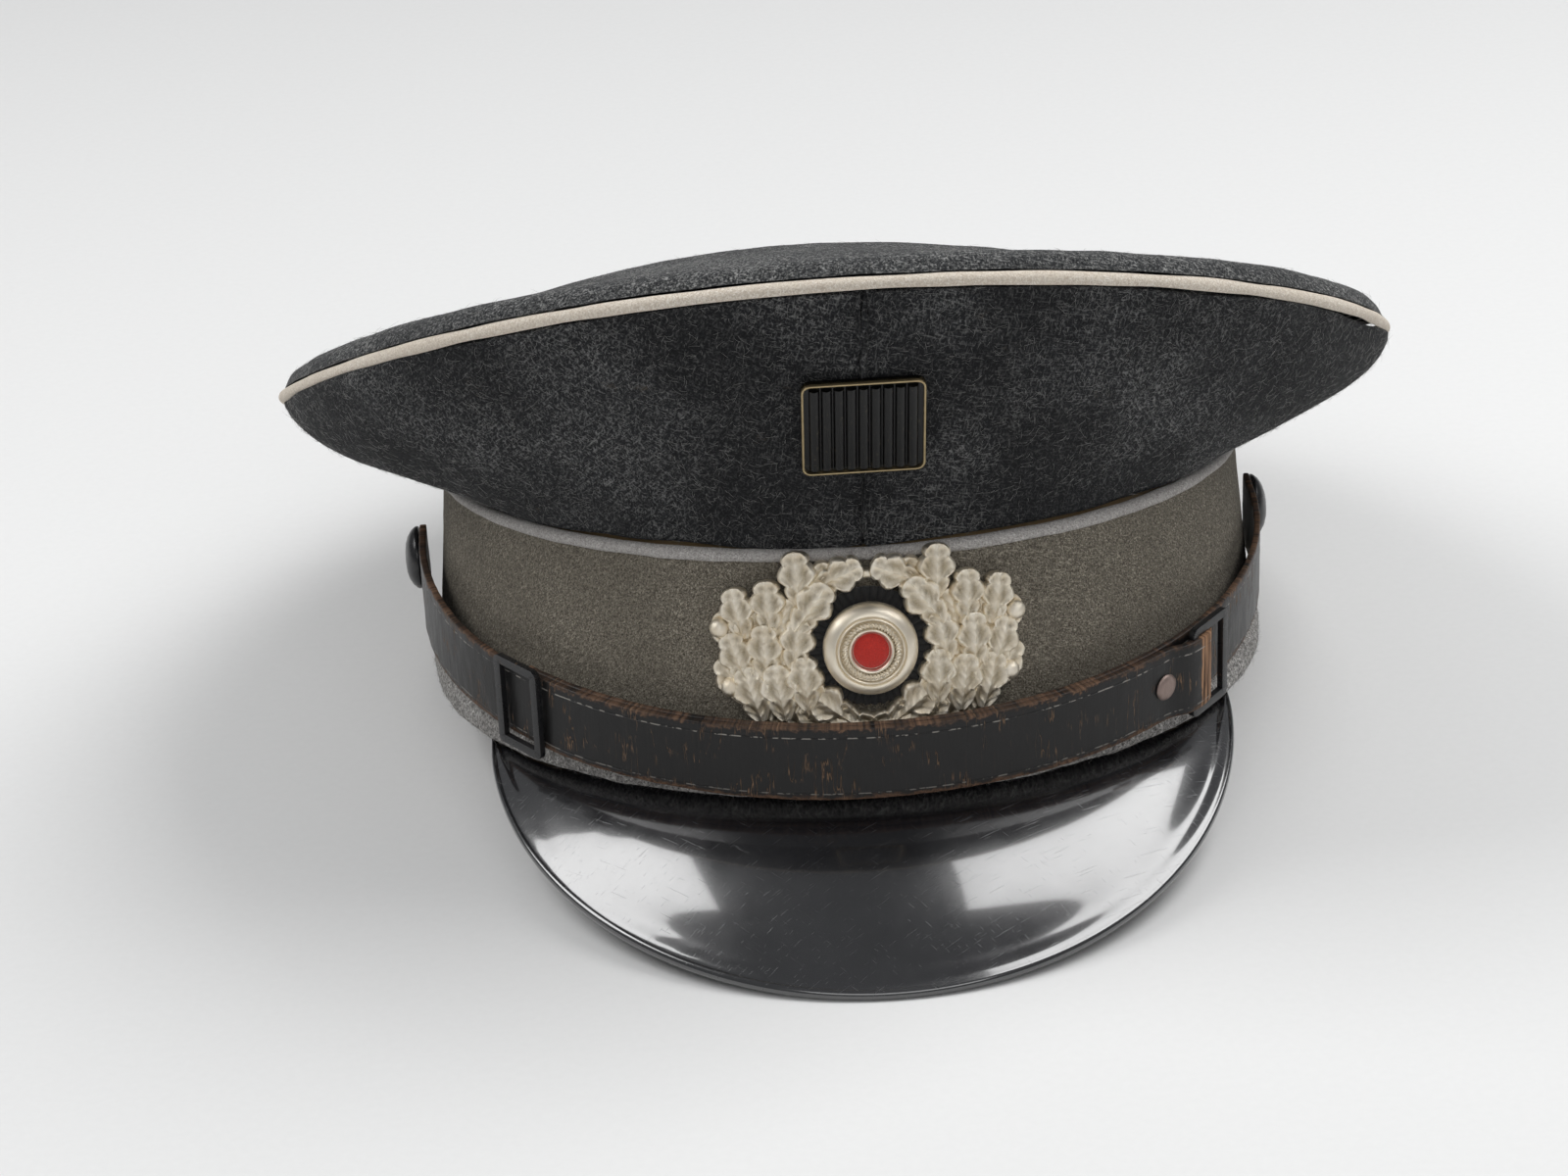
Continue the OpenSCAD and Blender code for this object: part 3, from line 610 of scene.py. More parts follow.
top_profile = cord_profile(band_r - band_taper - 0.2, band_h + 0.15, 1.4)
top_cord = on_band_line(spun("band_top_cord", top_profile, ring_steps), 0)
relief(top_cord, 0.22 * mm, 0.006, seed=10)
finished(shade(top_cord), grey_cord, "cap", "piping", "band_top_piping")
bottom_profile = cord_profile(band_r - 1.1, 9.25, 1.15)
bottom_cord = on_band_line(spun("band_bottom_cord", bottom_profile, ring_steps))
relief(bottom_cord, 0.2 * mm, 0.008, seed=11)
finished(shade(bottom_cord), cream_cord, "cap", "piping", "band_bottom_piping")

# %% Hem roll
hem_profile = [(band_r - 1.8, 0.2), (band_r - 0.6, 0), (band_r + 0.5, 0.6), (band_r + 0.9, 2.2),
               (band_r + 0.95, 4.2), (band_r + 0.6, 6.1), (band_r - 0.1, 7.3), (band_r - 0.8, 7.9),
               (band_r - 1.8, 7.9), (band_r - 2, 4)]
hem = smooth(spun("hem_roll", hem_profile, ring_steps), 1)
on_band_line(hem)
relief(hem, 0.35 * mm, 0.006, seed=12)
finished(shade(hem), hem_wool, "cap", "hem_wool", "hem_strip")


def hem_out(face):
    """Whether a face of the hem looks outwards and lies clear of the floor."""
    return face.normal.dot(Vector((face.center.x, face.center.y, 0))) > 0 and face.center.z > 2 * mm


hem_fibres = fuzz(hem, "hem_fibres", 4500, 1.8 * mm, 0.026 * mm, 21, hem_out)
finished(hem_fibres, hem_wool, "cap", "hem_wool")

# %% [markdown]
# ## Visor
# The visor is pressed fibre with many coats of black lacquer and a raised edge. The CAD shape is
# right, so its mesh is merged, made quads and rounded. The finish is smooth and dark, with fine
# scratches that only show where light falls on them.

# %% Visor
lacquer = Finish("lacquer", Roughness=0.16, Specular_Ior_Level=0.9, Coat_Weight=1.0,
                 Coat_Roughness=0.07, Coat_Ior=1.68)
cloudy = lacquer.noise(0.02, detail=5, rough=0.7)
scratch = (lacquer.noise(0.0003, detail=2, stretch=(40, 1, 6), turn=(0, 0, 0.5)).between(0.66, 0.7)
           + lacquer.noise(0.0003, detail=2, stretch=(30, 1, 6), turn=(0, 0, -0.7)).between(0.68, 0.72))
wrinkle = lacquer.noise(0.0012, detail=4, stretch=(1, 6, 1))
lacquer.colour(lacquer.mix(cloudy, rgb(0.004, 0.004, 0.005), rgb(0.012, 0.012, 0.014)))
lacquer.rough(cloudy.between(0.3, 0.7, 0.14, 0.26) + scratch * 0.12)
lacquer.bump(wrinkle * 0.5 + scratch * 0.5, 0.00004, 0.3)
visor = copied("visor", "visor_lacquered", levels=2, sharp=65)
finished(shade(visor), lacquer.material, "cap", "visor_fibre", "visor")

# %% [markdown]
# ## Chin strap
# Two leather straps lap over each other and pass through two steel frames. Each strap is a long
# grid, laid along its path and given a thickness. The path is followed in the strap's own plane,
# where `along` is the distance from the middle of the front. The grid keeps its own map in metres,
# so that cracks can run across the strap and wear can follow its edges.

# %% The strap's plane and path
button_z = 26.5
strap_tilt = math.radians(8.717)
strap_plane = cap @ Matrix.Translation((0, 0, button_z * mm)) @ Matrix.Rotation(strap_tilt, 4, "X")
strap_r = 94.22
strap_fore = 9.38
strap_w = 17.3
inner_t = 1.4
lap_gap = 0.15
outer_r = strap_r + inner_t + lap_gap
outer_t = 1.6
quarter_line = math.pi / 2 * outer_r
frame_at = math.radians(50) * outer_r
stud_at = math.radians(41.5) * outer_r


def strap_point(along, radius):
    """A place on the strap's plane, and the way out of the strap there."""
    angle = max(-math.pi / 2, min(math.pi / 2, along / outer_r))
    back = max(0, abs(along) - quarter_line)
    out = Vector((math.sin(angle), -math.cos(angle), 0))
    return (out * radius + Vector((0, back - strap_fore, 0))) * mm, out


def leather_strip(name, start, stop, radius, thick, lift=None, rows=10, columns=420):
    """A strip from start to stop along the path, lifted outwards by lift(along, height)."""
    bpy.ops.mesh.primitive_grid_add(x_subdivisions=columns, y_subdivisions=rows, size=1)
    strip = named(name)
    strip.data.uv_layers[0].name = "leather"
    for vertex in strip.data.vertices:
        along = start + (stop - start) * (vertex.co.x + 0.5)
        height = vertex.co.y * strap_w
        spot, out = strap_point(along, radius)
        spot += out * (lift(along, height) if lift else 0) * mm
        vertex.co = spot + Vector((0, 0, height * mm))
    for loop in strip.data.uv_layers[0].data:
        loop.uv = ((start + (stop - start) * loop.uv.x) * mm, loop.uv.y * strap_w * mm)
    modify(strip, "SOLIDIFY", thickness=thick * mm, offset=0)
    rounded(strip, 0.35 * mm, 2, 60)
    return placed(strip, strap_plane)


print("The strap's frames sit", round(frame_at, 1), "mm from the middle, its stud", round(stud_at, 1))


# %% [markdown]
# ## Strap leather
# The strap is old black leather. Its top edge is scuffed through to the brown, a sewn line follows
# each edge, fine cracks cross it, and where it folds into the buckle the creased inside shows. The
# map in metres gives the distance from an edge or along the strap, and noise makes each line ragged.

# %% Leather finish
def strap_leather(name, fold_at):
    """Black leather whose creased brown fold starts at fold_at metres along the strap."""
    finish = Finish(name, Roughness=0.4, Specular_Ior_Level=0.3)
    along = finish.add("SeparateXYZ", {"Vector": finish.add("UVMap", uv_map="leather")})
    across = finish.add("SeparateXYZ", {"Vector": finish.add("UVMap", uv_map="leather")}, out=1)
    grain = finish.noise(0.0009, detail=5, uv="leather")
    wander = finish.noise(0.004, detail=3, uv="leather")
    streak = finish.noise(0.0007, detail=4, stretch=(1, 16, 1), uv="leather")
    crack_line = finish.noise(0.0026, detail=3, rough=0.65, stretch=(1, 9, 1), uv="leather")
    crack = (crack_line - 0.5).math("ABSOLUTE").between(0.003, 0.016, 1, 0)
    crack = crack * finish.noise(0.011, detail=2, uv="leather").between(0.51, 0.63)
    ragged = (grain - 0.5) * 0.003 + (wander - 0.5) * 0.0036
    frayed = finish.noise(0.007, detail=3, uv="leather").between(0.38, 0.6, 0.3, 1)
    top_edge = (across + ragged).between(strap_w * mm - 0.0009, strap_w * mm - 0.0001) * frayed
    low_edge = (across + ragged).between(0.0004, 0.0011, 1, 0)
    line = (across - (strap_w - 2.3) * mm).math("ABSOLUTE").between(0.00012, 0.0002, 1, 0)
    low_line = (across - 1.5 * mm).math("ABSOLUTE").between(0.00012, 0.0002, 1, 0)
    dash = finish.noise(0.0022, detail=2, uv="leather").between(0.5, 0.56)
    face = finish.mix(streak, rgb(0.004, 0.004, 0.0044), rgb(0.02, 0.019, 0.0185))
    face = finish.mix(streak.between(0.62, 0.85, 0, 0.5), face, rgb(0.07, 0.042, 0.027))
    creases = finish.noise(0.0008, detail=3, rough=0.6, stretch=(1, 24, 1), uv="leather").between(0.4, 0.6)
    fold = (along + (wander - 0.5) * 0.002).between(fold_at, fold_at + 0.0006)
    brown = finish.mix(grain.between(0.35, 0.65), rgb(0.03, 0.016, 0.011), rgb(0.2, 0.115, 0.07))
    brown = finish.mix(fold, brown, finish.mix(creases, rgb(0.05, 0.024, 0.013), rgb(0.36, 0.2, 0.11)))
    worn_mask = (top_edge + low_edge + crack + fold).between(0, 1)
    face = finish.mix(worn_mask, face, brown)
    face = finish.mix(crack * 0.35, face, rgb(0.36, 0.24, 0.15))
    face = finish.mix(line * dash * 0.8 + low_line * dash * 0.5, face, rgb(0.32, 0.3, 0.27))
    finish.colour(face)
    finish.rough(worn_mask * 0.35 + streak.between(0.3, 0.7, 0.28, 0.46))
    finish.bump(streak * 0.3 + grain * 0.3 - crack * 1.5 - line * 0.8 - low_line * 0.8, 0.00018, 0.8)
    return finish.material


past_the_end = 1.0
front_leather = strap_leather("strap_leather", (frame_at - 5.2) * mm)
back_leather = strap_leather("inner_leather", past_the_end)
print("Leathers:", front_leather.name, back_leather.name)


# %% Outer strap
def outer_lift(along, height):
    """The strap dips under the slide, climbs over the buckle's near bar and dives into its window."""
    slide = -0.25 * math.exp(-((along + frame_at) / 8) ** 4)
    climb = 2.7 / (1 + math.exp(-(along - frame_at + 10) / 1.3))
    dive = 2.9 / (1 + math.exp(-(along - frame_at - 0.6) / 0.9))
    wave = 0.25 * math.sin(along / 9) * (height / strap_w)
    return slide + climb - dive + wave


outer = leather_strip("outer_strap", -quarter_line - strap_fore, frame_at + 2.6,
                      outer_r + outer_t / 2, outer_t, outer_lift)
relief(outer, 0.12 * mm, 0.003, seed=13)
finished(shade(outer, 50), front_leather, "chin_strap", "strap_leather", "strap_outer")

# %% Inner strap
inner = leather_strip("inner_strap", -frame_at, quarter_line + strap_fore,
                      strap_r + inner_t / 2, inner_t)
relief(inner, 0.1 * mm, 0.003, seed=14)
finished(shade(inner, 50), back_leather, "chin_strap", "strap_leather", "strap_inner")

# %% [markdown]
# ## Steel frames, stud and side buttons
# The frames are bent from flat steel and enamelled black. A plane is inset, its middle is taken out
# and what is left is given a thickness, with rounded edges. The stud and the buttons are turned.

# %% Enamelled steel
enamel = Finish("black_enamel", Metallic=0.0, Roughness=0.3)
chips = enamel.noise(0.0016, detail=5, rough=0.75).between(0.64, 0.7)
enamel.colour(enamel.mix(chips, rgb(0.012, 0.012, 0.013), rgb(0.13, 0.075, 0.04)))
enamel.rough(chips * 0.3 + enamel.noise(0.004).between(0.3, 0.7, 0.22, 0.36))
enamel.bump(enamel.noise(0.0006, detail=3), 0.00003, 0.5)
print("Enamel:", enamel.material.name)

# %% Slide and buckle
frame_w = 14.0
frame_h = 21.9
bar = 2.0
bar_t = 1.4
seat_gap = 0.3


def facing(spot, out):
    """A matrix whose Z looks out and whose Y looks up, for a piece that is modelled lying flat."""
    side = Vector((0, 0, 1)).cross(out).normalized()
    turn = Matrix((side, out.cross(side), out)).transposed().to_4x4()
    return Matrix.Translation(spot) @ turn


def steel_frame(name, along, node):
    bpy.ops.mesh.primitive_plane_add(size=1)
    loop = named(name)
    loop.data.transform(Matrix.Diagonal((frame_w * mm, frame_h * mm, 1, 1)))
    with editing(loop):
        bpy.ops.mesh.bevel(offset=1.6 * mm, segments=4, affect="VERTICES")
        bpy.ops.mesh.select_all(action="SELECT")
        bpy.ops.mesh.inset(thickness=bar * mm)
        bpy.ops.mesh.delete(type="FACE")
        bpy.ops.mesh.select_all(action="SELECT")
        bpy.ops.mesh.extrude_region_move(TRANSFORM_OT_translate={"value": (0, 0, bar_t * mm)})
    tidy(loop)
    rounded(loop, 0.45 * mm, 3, 40)
    spot, out = strap_point(along, outer_r + outer_t + seat_gap)
    placed(loop, strap_plane @ facing(spot, out))
    return finished(shade(loop, 35), enamel.material, "chin_strap", "black_metal", node)


steel_frame("slide_frame", -frame_at, "strap_slide")
steel_frame("buckle_frame", frame_at, "strap_buckle")


# %% Turned pieces
turned_steps = 64


def turned(name, profile, matrix, material, body, slot, node):
    obj = placed(spun(name, profile, turned_steps), matrix)
    return finished(shade(obj, 40), material, body, slot, node)


# %% Stud
dull = Finish("stud_metal", Metallic=0.7, Roughness=0.5)
scuff = dull.noise(0.0009, detail=5, rough=0.7, stretch=(1, 1, 3))
dull.colour(dull.mix(scuff, rgb(0.16, 0.11, 0.09), rgb(0.42, 0.33, 0.3)))
dull.rough(scuff.between(0.3, 0.7, 0.35, 0.6))
dull.bump(scuff, 0.00004, 0.6)
stud_spot, stud_out = strap_point(stud_at, outer_r + outer_t + 0.1)
stud_profile = [(0, 0), (2.9, 0), (3.0, 0.25), (2.85, 0.55), (2.4, 0.85), (1.6, 1.05), (0.8, 1.15),
                (0, 1.18)]
turned("stud_head", stud_profile, strap_plane @ facing(stud_spot, stud_out), dull.material,
       "chin_strap", "stud_metal", "strap_stud")

# %% Side buttons
button_profile = [(0, 0), (6.6, 0), (7.2, 0.3), (7.3, 0.7), (7.1, 1.2), (6.3, 2.1), (5.0, 2.9),
                  (3.4, 3.4), (1.7, 3.6), (0, 3.65)]
for side, word, seat in ((1, "left", strap_r + inner_t), (-1, "right", outer_r + outer_t)):
    spot = Vector((side * (seat + seat_gap) * mm, 0, button_z * mm))
    turned("button_" + word, button_profile, cap @ facing(spot, Vector((side, 0, 0))),
           enamel.material, "cap", "black_metal", "side_button_" + word)

# %% [markdown]
# ## Oak wreath
# The wreath is pressed metal: two branches of oak leaves in two layers, with two acorns each. One
# leaf is modelled on a grid, because sculpting each would be slow and wouldn't match. Its outline
# swells into two round lobes a side and a broad tip. Its face has a raised rim, a midrib, slanting
# veins and hollows, whose depth is kept as an attribute that the metal's colour reads. The leaf is
# then copied to each place: along the band, above the cockade's middle, turn and lift.

# %% Places on the band
wall_lean = math.atan(band_lean)


def on_band(along, height, lift, turn=0.0):
    """A matrix on the band's wall, with X along the band, Y up it and Z out of it."""
    radius = (band_r - band_lean * height) * mm
    return (cap @ Matrix.Translation((0, -band_flat * mm, height * mm))
            @ Matrix.Rotation(along * mm / radius, 4, "Z") @ Matrix.Translation((0, -radius, 0))
            @ Matrix.Rotation(math.pi / 2 - wall_lean, 4, "X") @ Matrix.Translation((0, 0, lift * mm))
            @ Matrix.Rotation(math.radians(turn), 4, "Z"))


print("The band's wall leans by", round(math.degrees(wall_lean), 2), "degrees")


# %% One oak leaf
def leaf_half_width(t):
    """Half of the leaf's width, as a share of the widest, from its stalk (0) to its tip (1)."""
    lobes = 0.66 + 0.34 * abs(math.sin(2.6 * math.pi * t)) ** 0.55
    shape = (0.36 + 0.64 * min(1, t / 0.5) ** 0.8) * math.sqrt(max(0, 1 - t ** 6))
    return lobes * shape


def leaf_hollow(t, share):
    """1 in the hollow between the midrib and the rim, and 0 on both."""
    across = math.exp(-((abs(share) - 0.4) / 0.24) ** 2)
    lobe = 0.35 + 0.65 * abs(math.sin(2.6 * math.pi * t)) ** 0.7
    return across * lobe * min(1, t / 0.2) * min(1, max(0, 0.97 - t) / 0.13)


def leaf_height(t, share, half):
    """Height of the leaf's face, in millimetres: share is -1 to 1 across it."""
    side = abs(share) * half
    dome = 0.95 * max(0, 1 - share ** 4) ** 0.5 - 0.75 * leaf_hollow(t, share)
    rim = 0.3 * math.exp(-((abs(share) - 0.82) / 0.1) ** 2) + 0.25 * math.exp(-((t - 0.93) / 0.04) ** 2)
    midrib = 0.45 * (1 - 0.7 * t) * math.exp(-(side / 0.22) ** 2)
    veins = sum(math.exp(-((t * 11 - start - side * 0.9) / 0.2) ** 2) for start in (0.8, 2.6, 4.4, 6.2, 7.8))
    return dome + rim + midrib + 0.34 * veins * min(1, side / 0.3) + 0.9 * math.sin(math.pi * t)


leaf_half = 4.4
leaf_length = 12.2
leaf_depth = 1.7
bpy.ops.mesh.primitive_grid_add(x_subdivisions=22, y_subdivisions=34, size=1)
leaf = named("oak_leaf")
hollow = leaf.data.attributes.new("hollow", "FLOAT", "POINT")
for vertex in leaf.data.vertices:
    share, t = 2 * vertex.co.x, vertex.co.y + 0.5
    half = leaf_half * leaf_half_width(t)
    vertex.co = Vector((share * half, leaf_length * (t - 0.5), leaf_height(t, share, half))) * mm
    hollow.data[vertex.index].value = leaf_hollow(t, share)
with editing(leaf):
    bpy.ops.mesh.extrude_region_move()
    bpy.ops.transform.resize(value=(1, 1, 0))
    bpy.ops.transform.translate(value=(0, 0, -leaf_depth * mm))
tidy(leaf)
print("One leaf:", len(leaf.data.polygons), "faces")

# %% The branches
leaf_places = [(-5.9, 15.6, -66, 2.0), (-14.2, 15.4, 6, 2.3), (-11.6, 9.2, -36, 2.7), (-14.9, 1.2, -10, 2.6),
               (-13.6, -7.2, 4, 2.7), (-8.8, -12.6, 52, 2.0), (-20.6, 9.4, 4, 2.2), (-21.6, -0.4, 2, 2.3),
               (-18.9, -9.2, 10, 2.5), (-27, 7.6, 14, 1.8), (-27.4, -2.2, 22, 1.9), (-24.6, -9.8, 18, 2.1),
               (-10.2, 13.4, -30, 1.2), (-17.6, 5.2, -6, 1.3), (-17.9, -4.2, 0, 1.3), (-16.2, -13, 20, 1.2),
               (-24.4, 4.2, 8, 1.1), (-24.8, -5.6, 14, 1.1), (-29, 2.6, 24, 0.7), (-28.6, -7.4, 34, 0.8),
               (-11.6, -14.8, 40, 1.2), (-22.4, -13.4, 26, 0.9), (-4.6, -16.6, 80, 1.6)]
acorn_places = [(-31.2, 4.2), (-29.4, -8.6)]
cockade_z = 34.0
wreath_parts = []
for side in (-1, 1):
    for order, (along, height, turn, lift) in enumerate(leaf_places):
        mirror = Matrix.Diagonal((-side, 1, 1, 1))
        size = Matrix.Scale(0.97 + 0.05 * ((order * 7) % 3 - 1), 4)
        place = on_band(side * -along, cockade_z + height, lift, -side * turn)
        wreath_parts.append(twin(leaf, place @ size @ mirror))
    for along, height in acorn_places:
        bpy.ops.mesh.primitive_uv_sphere_add(segments=32, ring_count=20, radius=2.15 * mm)
        acorn = named("acorn")
        wreath_parts.append(placed(acorn, on_band(side * -along, cockade_z + height, 2.4)))
        bpy.ops.mesh.primitive_cylinder_add(vertices=24, radius=1.7 * mm, depth=1.6 * mm)
        cup = rounded(named("cup"), 0.4 * mm, 3, 40)
        wreath_parts.append(placed(cup, on_band(side * (-along - 1.6), cockade_z + height - 1.2, 1.5)))
bpy.ops.mesh.primitive_torus_add(major_segments=96, minor_segments=10, major_radius=15.6 * mm,
                                 minor_radius=1 * mm)
branch = named("branch")
for vertex in branch.data.vertices:
    height = cockade_z + vertex.co.y / mm
    vertex.co = on_band(vertex.co.x / mm, height, 1.1 + vertex.co.z / mm).translation
wreath_parts.append(tidy(branch))
bpy.data.objects.remove(leaf)
print("The wreath is joined from", len(wreath_parts), "parts")
wreath = joined(wreath_parts, "oak_wreath")

# %% Frosted aluminium
silver = Finish("wreath_metal", Metallic=1.0, Roughness=0.5)
stipple = silver.noise(0.00035, detail=3, rough=0.7)
dirt = silver.noise(0.004, detail=4).between(0.4, 0.7)
sunk = silver.add("Attribute", out=2, attribute_name="hollow")
clean = silver.mix(dirt, rgb(0.96, 0.89, 0.76), rgb(0.82, 0.72, 0.56))
silver.colour(silver.mix((sunk * 0.5 + stipple * sunk * 0.7).between(0, 1), clean, rgb(0.4, 0.33, 0.22)))
silver.rough(stipple.between(0.3, 0.7, 0.34, 0.52))
silver.bump(stipple, 0.00014, 0.9)
finished(shade(wreath, 50), silver.material, "cap", "wreath_metal", "wreath")

# %% [markdown]
# ## Cockade
# A ring of pleated black cloth lies round a turned boss. The boss has a wide rolled rim, a bead, a
# hollow, a rope ring and a plain ring round its middle, where a disc of red felt is let in. The
# pleats are a zigzag in a grid that is bent round, which stays even where real folding wouldn't.
# The rope is a torus whose tube swells in slanting strands, so it needs no separate wires.

# %% Pleated ruffle
cockade = on_band(0, cockade_z, 0)
pleats = 44
columns_a_pleat = 8
bpy.ops.mesh.primitive_grid_add(x_subdivisions=pleats * columns_a_pleat, y_subdivisions=8, size=1)
ruffle = named("pleated_ruffle")
for vertex in ruffle.data.vertices:
    angle, share = math.tau * vertex.co.x, vertex.co.y + 0.5
    fold = math.asin(math.sin(pleats * angle)) / (math.pi / 2)
    radius = (8 + 4.9 * share + 0.15 * fold * share) * mm
    vertex.co = (radius * math.cos(angle), radius * math.sin(angle), (1.25 + 0.42 * fold * share) * mm)
tidy(ruffle, 1e-5)
modify(ruffle, "SOLIDIFY", thickness=0.45 * mm, offset=0)
ribbon = Finish("ruffle_cloth", Roughness=0.8, Sheen_Weight=0.2)
thread = ribbon.noise(0.0002, detail=3)
ribbon.colour(ribbon.mix(thread, rgb(0.004, 0.004, 0.004), rgb(0.02, 0.02, 0.021)))
ribbon.bump(thread, 0.00006, 0.7)
finished(placed(shade(ruffle, 60), cockade), ribbon.material, "cap", "ruffle_cloth", "cockade_ruffle")

# %% Turned boss and its rope ring
boss_profile = [(0, 1.9), (9.4, 1.9), (9.85, 2.4), (10.1, 3.3), (10.0, 4.3), (9.6, 5.2), (8.9, 6.0),
                (8.2, 6.5), (7.6, 6.75), (7.35, 6.2), (7.2, 6.6), (6.95, 6.85), (6.7, 6.6),
                (6.55, 6.0), (6.3, 5.85), (5.1, 5.85), (4.95, 6.3), (4.65, 6.75), (4.35, 6.6),
                (4.1, 6.2), (3.95, 5.6), (0, 5.5)]
boss = rounded(spun("boss", boss_profile, 160), 0.08 * mm, 2, 50)
strands = 46
rope_r = 5.62
rope_z = 6.1
bpy.ops.mesh.primitive_torus_add(major_segments=strands * 6, minor_segments=14,
                                 major_radius=rope_r * mm, minor_radius=0.56 * mm)
rope = named("rope")
for vertex in rope.data.vertices:
    around = math.atan2(vertex.co.y, vertex.co.x)
    ring = Vector((math.cos(around), math.sin(around), 0)) * rope_r * mm
    off = vertex.co - ring
    tube = math.atan2(off.z, off.dot(ring.normalized()))
    bulge = 1 + 0.36 * math.sin(strands * around + 3 * tube)
    vertex.co = ring + off * bulge + Vector((0, 0, rope_z * mm))
boss = placed(joined([boss, rope], "cockade_boss_turned"), cockade)
plate = Finish("boss_metal", Metallic=1.0, Roughness=0.36)
haze = plate.noise(0.003, detail=4)
plate.colour(plate.mix(haze, rgb(0.94, 0.87, 0.75), rgb(0.8, 0.71, 0.56)))
plate.rough(haze.between(0.3, 0.7, 0.38, 0.52))
plate.bump(plate.noise(0.0004, detail=3), 0.00002, 0.4)
finished(shade(boss, 40), plate.material, "cap", "wreath_metal", "cockade_boss")

# %% Red felt
felt_profile = [(0, 5.55), (3.8, 5.55), (3.75, 5.9), (3.2, 6.25), (2.2, 6.45), (1.1, 6.52), (0, 6.54)]
felt = Finish("felt_red", Roughness=0.95, Sheen_Weight=0.3)
nap = felt.noise(0.00035, detail=4, rough=0.7, stretch=(1, 4, 1))
felt.colour(felt.mix(nap, rgb(0.3, 0.006, 0.005), rgb(0.85, 0.045, 0.025)))
felt.bump(nap, 0.0003, 1.0)
turned("felt_centre", felt_profile, cockade, felt.material, "cap", "felt_red", "cockade_felt")

# %% [markdown]
# ## Badge
# The badge is a plain plate of black enamel with upright flutes and a thin gilt rim. It bears no
# device. The rim is an inset plane with its middle taken out, so that its corners stay round, and
# the flutes are half sunk cylinders. The solid's largest front face gives the way it looks.

# %% Badge
badge_solid = frame["nodes"]["badge"].data
badge_out = max(badge_solid.polygons, key=lambda face: face.area * (face.normal.y < -0.3)).normal.copy()
badge_low, badge_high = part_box("badge")
badge_stand = facing((badge_low + badge_high) / 2, badge_out)
badge_w = 25.5
badge_h = 26
flute_count = 9
flute_step = 2.52
bpy.ops.mesh.primitive_plane_add(size=1)
rim = named("badge_rim")
rim.data.transform(Matrix.Diagonal((badge_w * mm, badge_h * mm, 1, 1)))
with editing(rim):
    bpy.ops.mesh.bevel(offset=2 * mm, segments=5, affect="VERTICES")
backing = twin(rim)
with editing(rim):
    bpy.ops.mesh.inset(thickness=0.5 * mm)
    bpy.ops.mesh.delete(type="FACE")
    bpy.ops.mesh.select_all(action="SELECT")
    bpy.ops.mesh.extrude_region_move(TRANSFORM_OT_translate={"value": (0, 0, 1.7 * mm)})
rounded(tidy(rim), 0.2 * mm, 2, 40)
with editing(backing):
    bpy.ops.mesh.extrude_region_move(TRANSFORM_OT_translate={"value": (0, 0, 1.0 * mm)})
flutes = [tidy(backing)]
for number in range(flute_count):
    bpy.ops.mesh.primitive_cylinder_add(vertices=24, radius=1.15 * mm, depth=23 * mm,
                                        rotation=(math.pi / 2, 0, 0))
    flute = named("flute")
    bpy.ops.object.transform_apply(rotation=True)
    across = (number - flute_count // 2) * flute_step * mm
    flutes.append(placed(flute, Matrix.Translation((across, 0, 0.85 * mm))))
badge_plate = joined(flutes, "badge_plate")
jet = Finish("badge_jet", Roughness=0.3, Specular_Ior_Level=0.3)
rubbed = jet.noise(0.001, detail=4).between(0.6, 0.75)
jet.colour(jet.mix(rubbed, rgb(0.003, 0.003, 0.003), rgb(0.05, 0.04, 0.025)))
gilt = Finish("badge_gilt", Metallic=1.0, Roughness=0.38)
gilt.colour(gilt.mix(gilt.noise(0.002, detail=4), rgb(0.56, 0.45, 0.26), rgb(0.3, 0.23, 0.13)))
badge_back = badge_stand @ Matrix.Translation((0, 0, -0.85 * mm))
finished(shade(placed(badge_plate, badge_back), 40), jet.material, "cap", "badge_enamel", "badge")
finished(shade(placed(rim, badge_back), 40), gilt.material, "cap", "badge_enamel")

# %% [markdown]
# ## Inside the cap
# The leather sweatband, the lining and the sweat shield are soft, so they are modelled again. The
# board, the stay, the wire and the prongs are stiff, so their solids stay, each with its material.

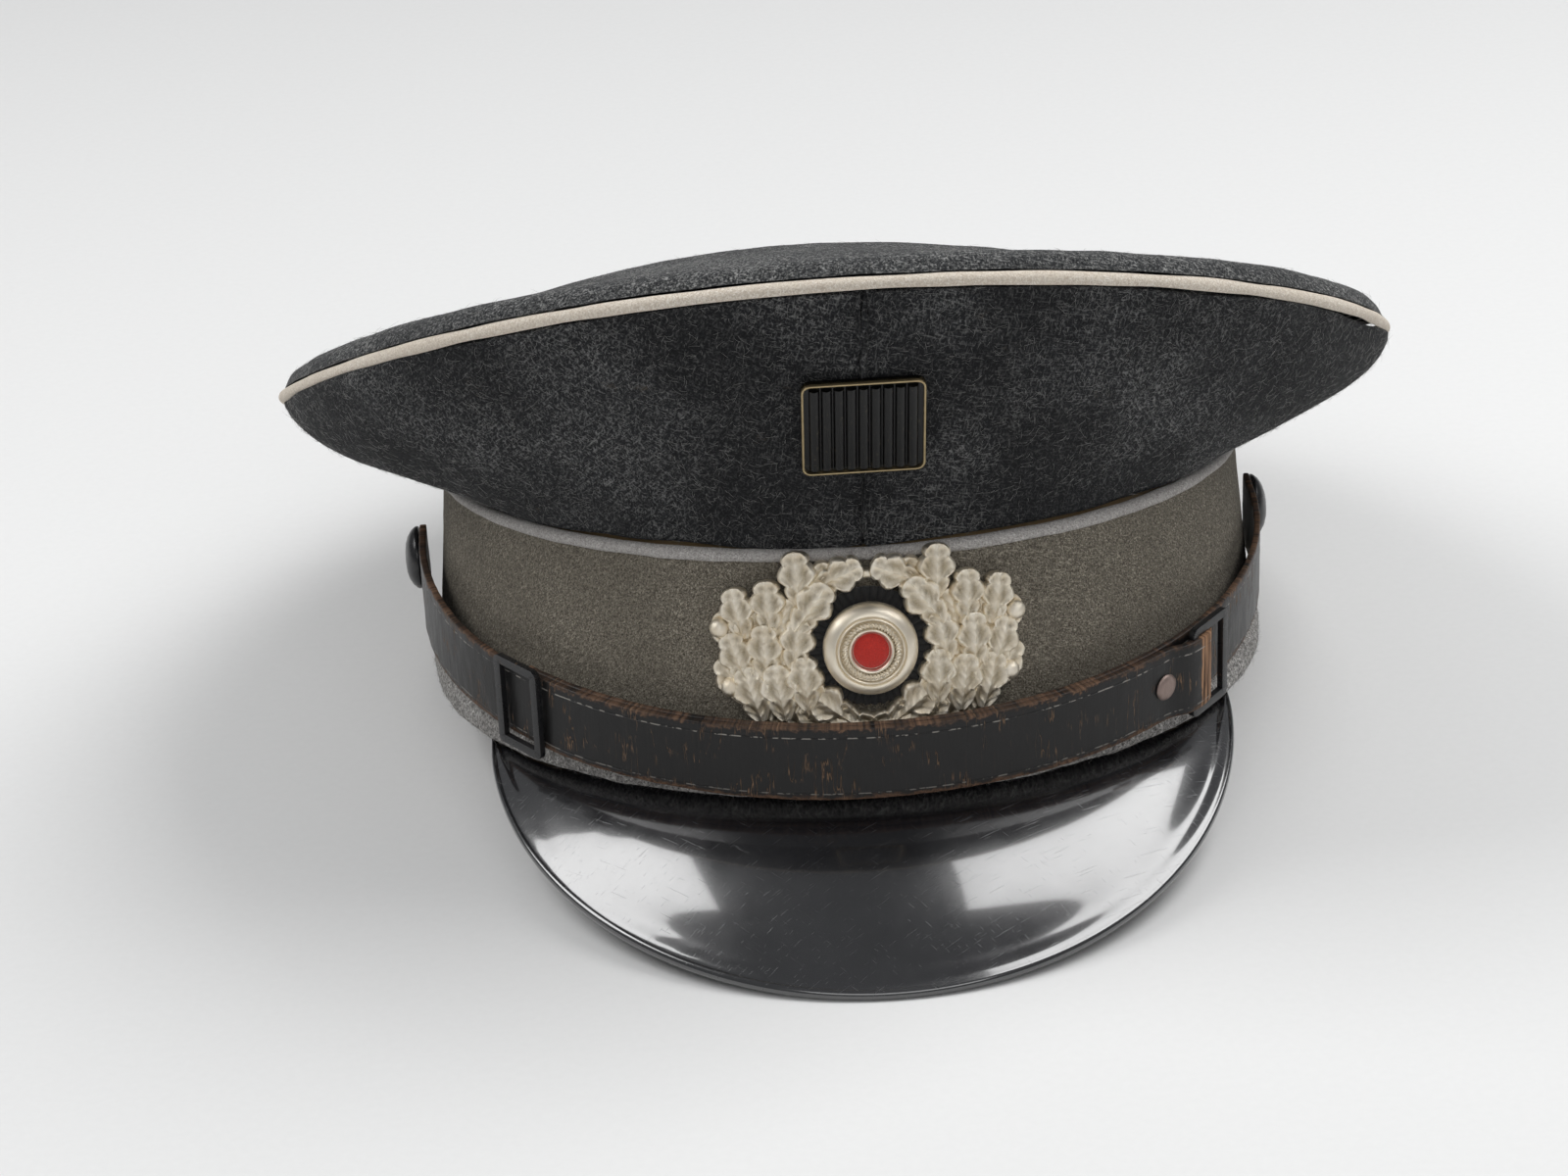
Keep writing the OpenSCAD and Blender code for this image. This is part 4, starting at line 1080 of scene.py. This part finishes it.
# %% Sweatband
sweat_leather = Finish("sweat_leather", Roughness=0.5)
pores = sweat_leather.noise(0.0006, detail=4)
stain = sweat_leather.noise(0.02, detail=4)
sweat_leather.colour(sweat_leather.mix(stain, rgb(0.16, 0.08, 0.042), rgb(0.27, 0.15, 0.085)))
sweat_leather.bump(pores, 0.00008, 0.6)
sweat = on_band_line(spun("sweatband_leather", wall(0.35, 39.8, 5.6, 1.0, 10), ring_steps))
relief(sweat, 0.25 * mm, 0.02, seed=17)
finished(shade(sweat, 40), sweat_leather.material, "cap", "sweat_leather", "sweatband")

# %% Lining and sweat shield
satin = Finish("lining_satin", Roughness=0.45, Sheen_Weight=0.3)
weave = satin.noise(0.0003, detail=2, stretch=(6, 1, 1))
satin.colour(satin.mix(weave, rgb(0.3, 0.2, 0.1), rgb(0.46, 0.32, 0.17)))
satin.bump(weave, 0.00005, 0.5)
lining = copied("crown_lining", "lining_satin_cloth", levels=2)
relief(lining, 0.3 * mm, 0.02, seed=18)
finished(lining, satin.material, "cap", "lining", "crown_lining")
celluloid = Finish("clear_sheet", Roughness=0.2, Coat_Weight=0.5)
celluloid.colour(celluloid.mix(celluloid.noise(0.02), rgb(0.5, 0.38, 0.2), rgb(0.62, 0.5, 0.3)))
shield = copied("sweat_shield", "sweat_shield_sheet", levels=1)
finished(shield, celluloid.material, "cap", "clear_sheet", "sweat_shield")


# %% Stiff hidden pieces
def plain_finish(name, colour, *nodes, **constants):
    finish = Finish(name, Base_Color=colour, **constants)
    for node in nodes:
        solid = frame["nodes"][node]
        solid.data.materials.clear()
        solid.data.materials.append(finish.material)
    print(name, "on", ", ".join(nodes))


plain_finish("stiffener_board", rgb(0.33, 0.24, 0.15), "band_stiffener", Roughness=0.85)
plain_finish("stay_board", rgb(0.42, 0.36, 0.25), "front_stay", Roughness=0.85)
plain_finish("spring_steel", rgb(0.3, 0.3, 0.31), "crown_wire", Metallic=1.0, Roughness=0.35)
plain_finish("prong_metal", rgb(0.8, 0.78, 0.73), "wreath_prongs", Metallic=1.0, Roughness=0.42)
plain_finish("pin_metal", rgb(0.6, 0.5, 0.3), "badge_prongs", Metallic=1.0, Roughness=0.4)


# %% [markdown]
# ## The end

# %% The end
print("The cap is dressed")
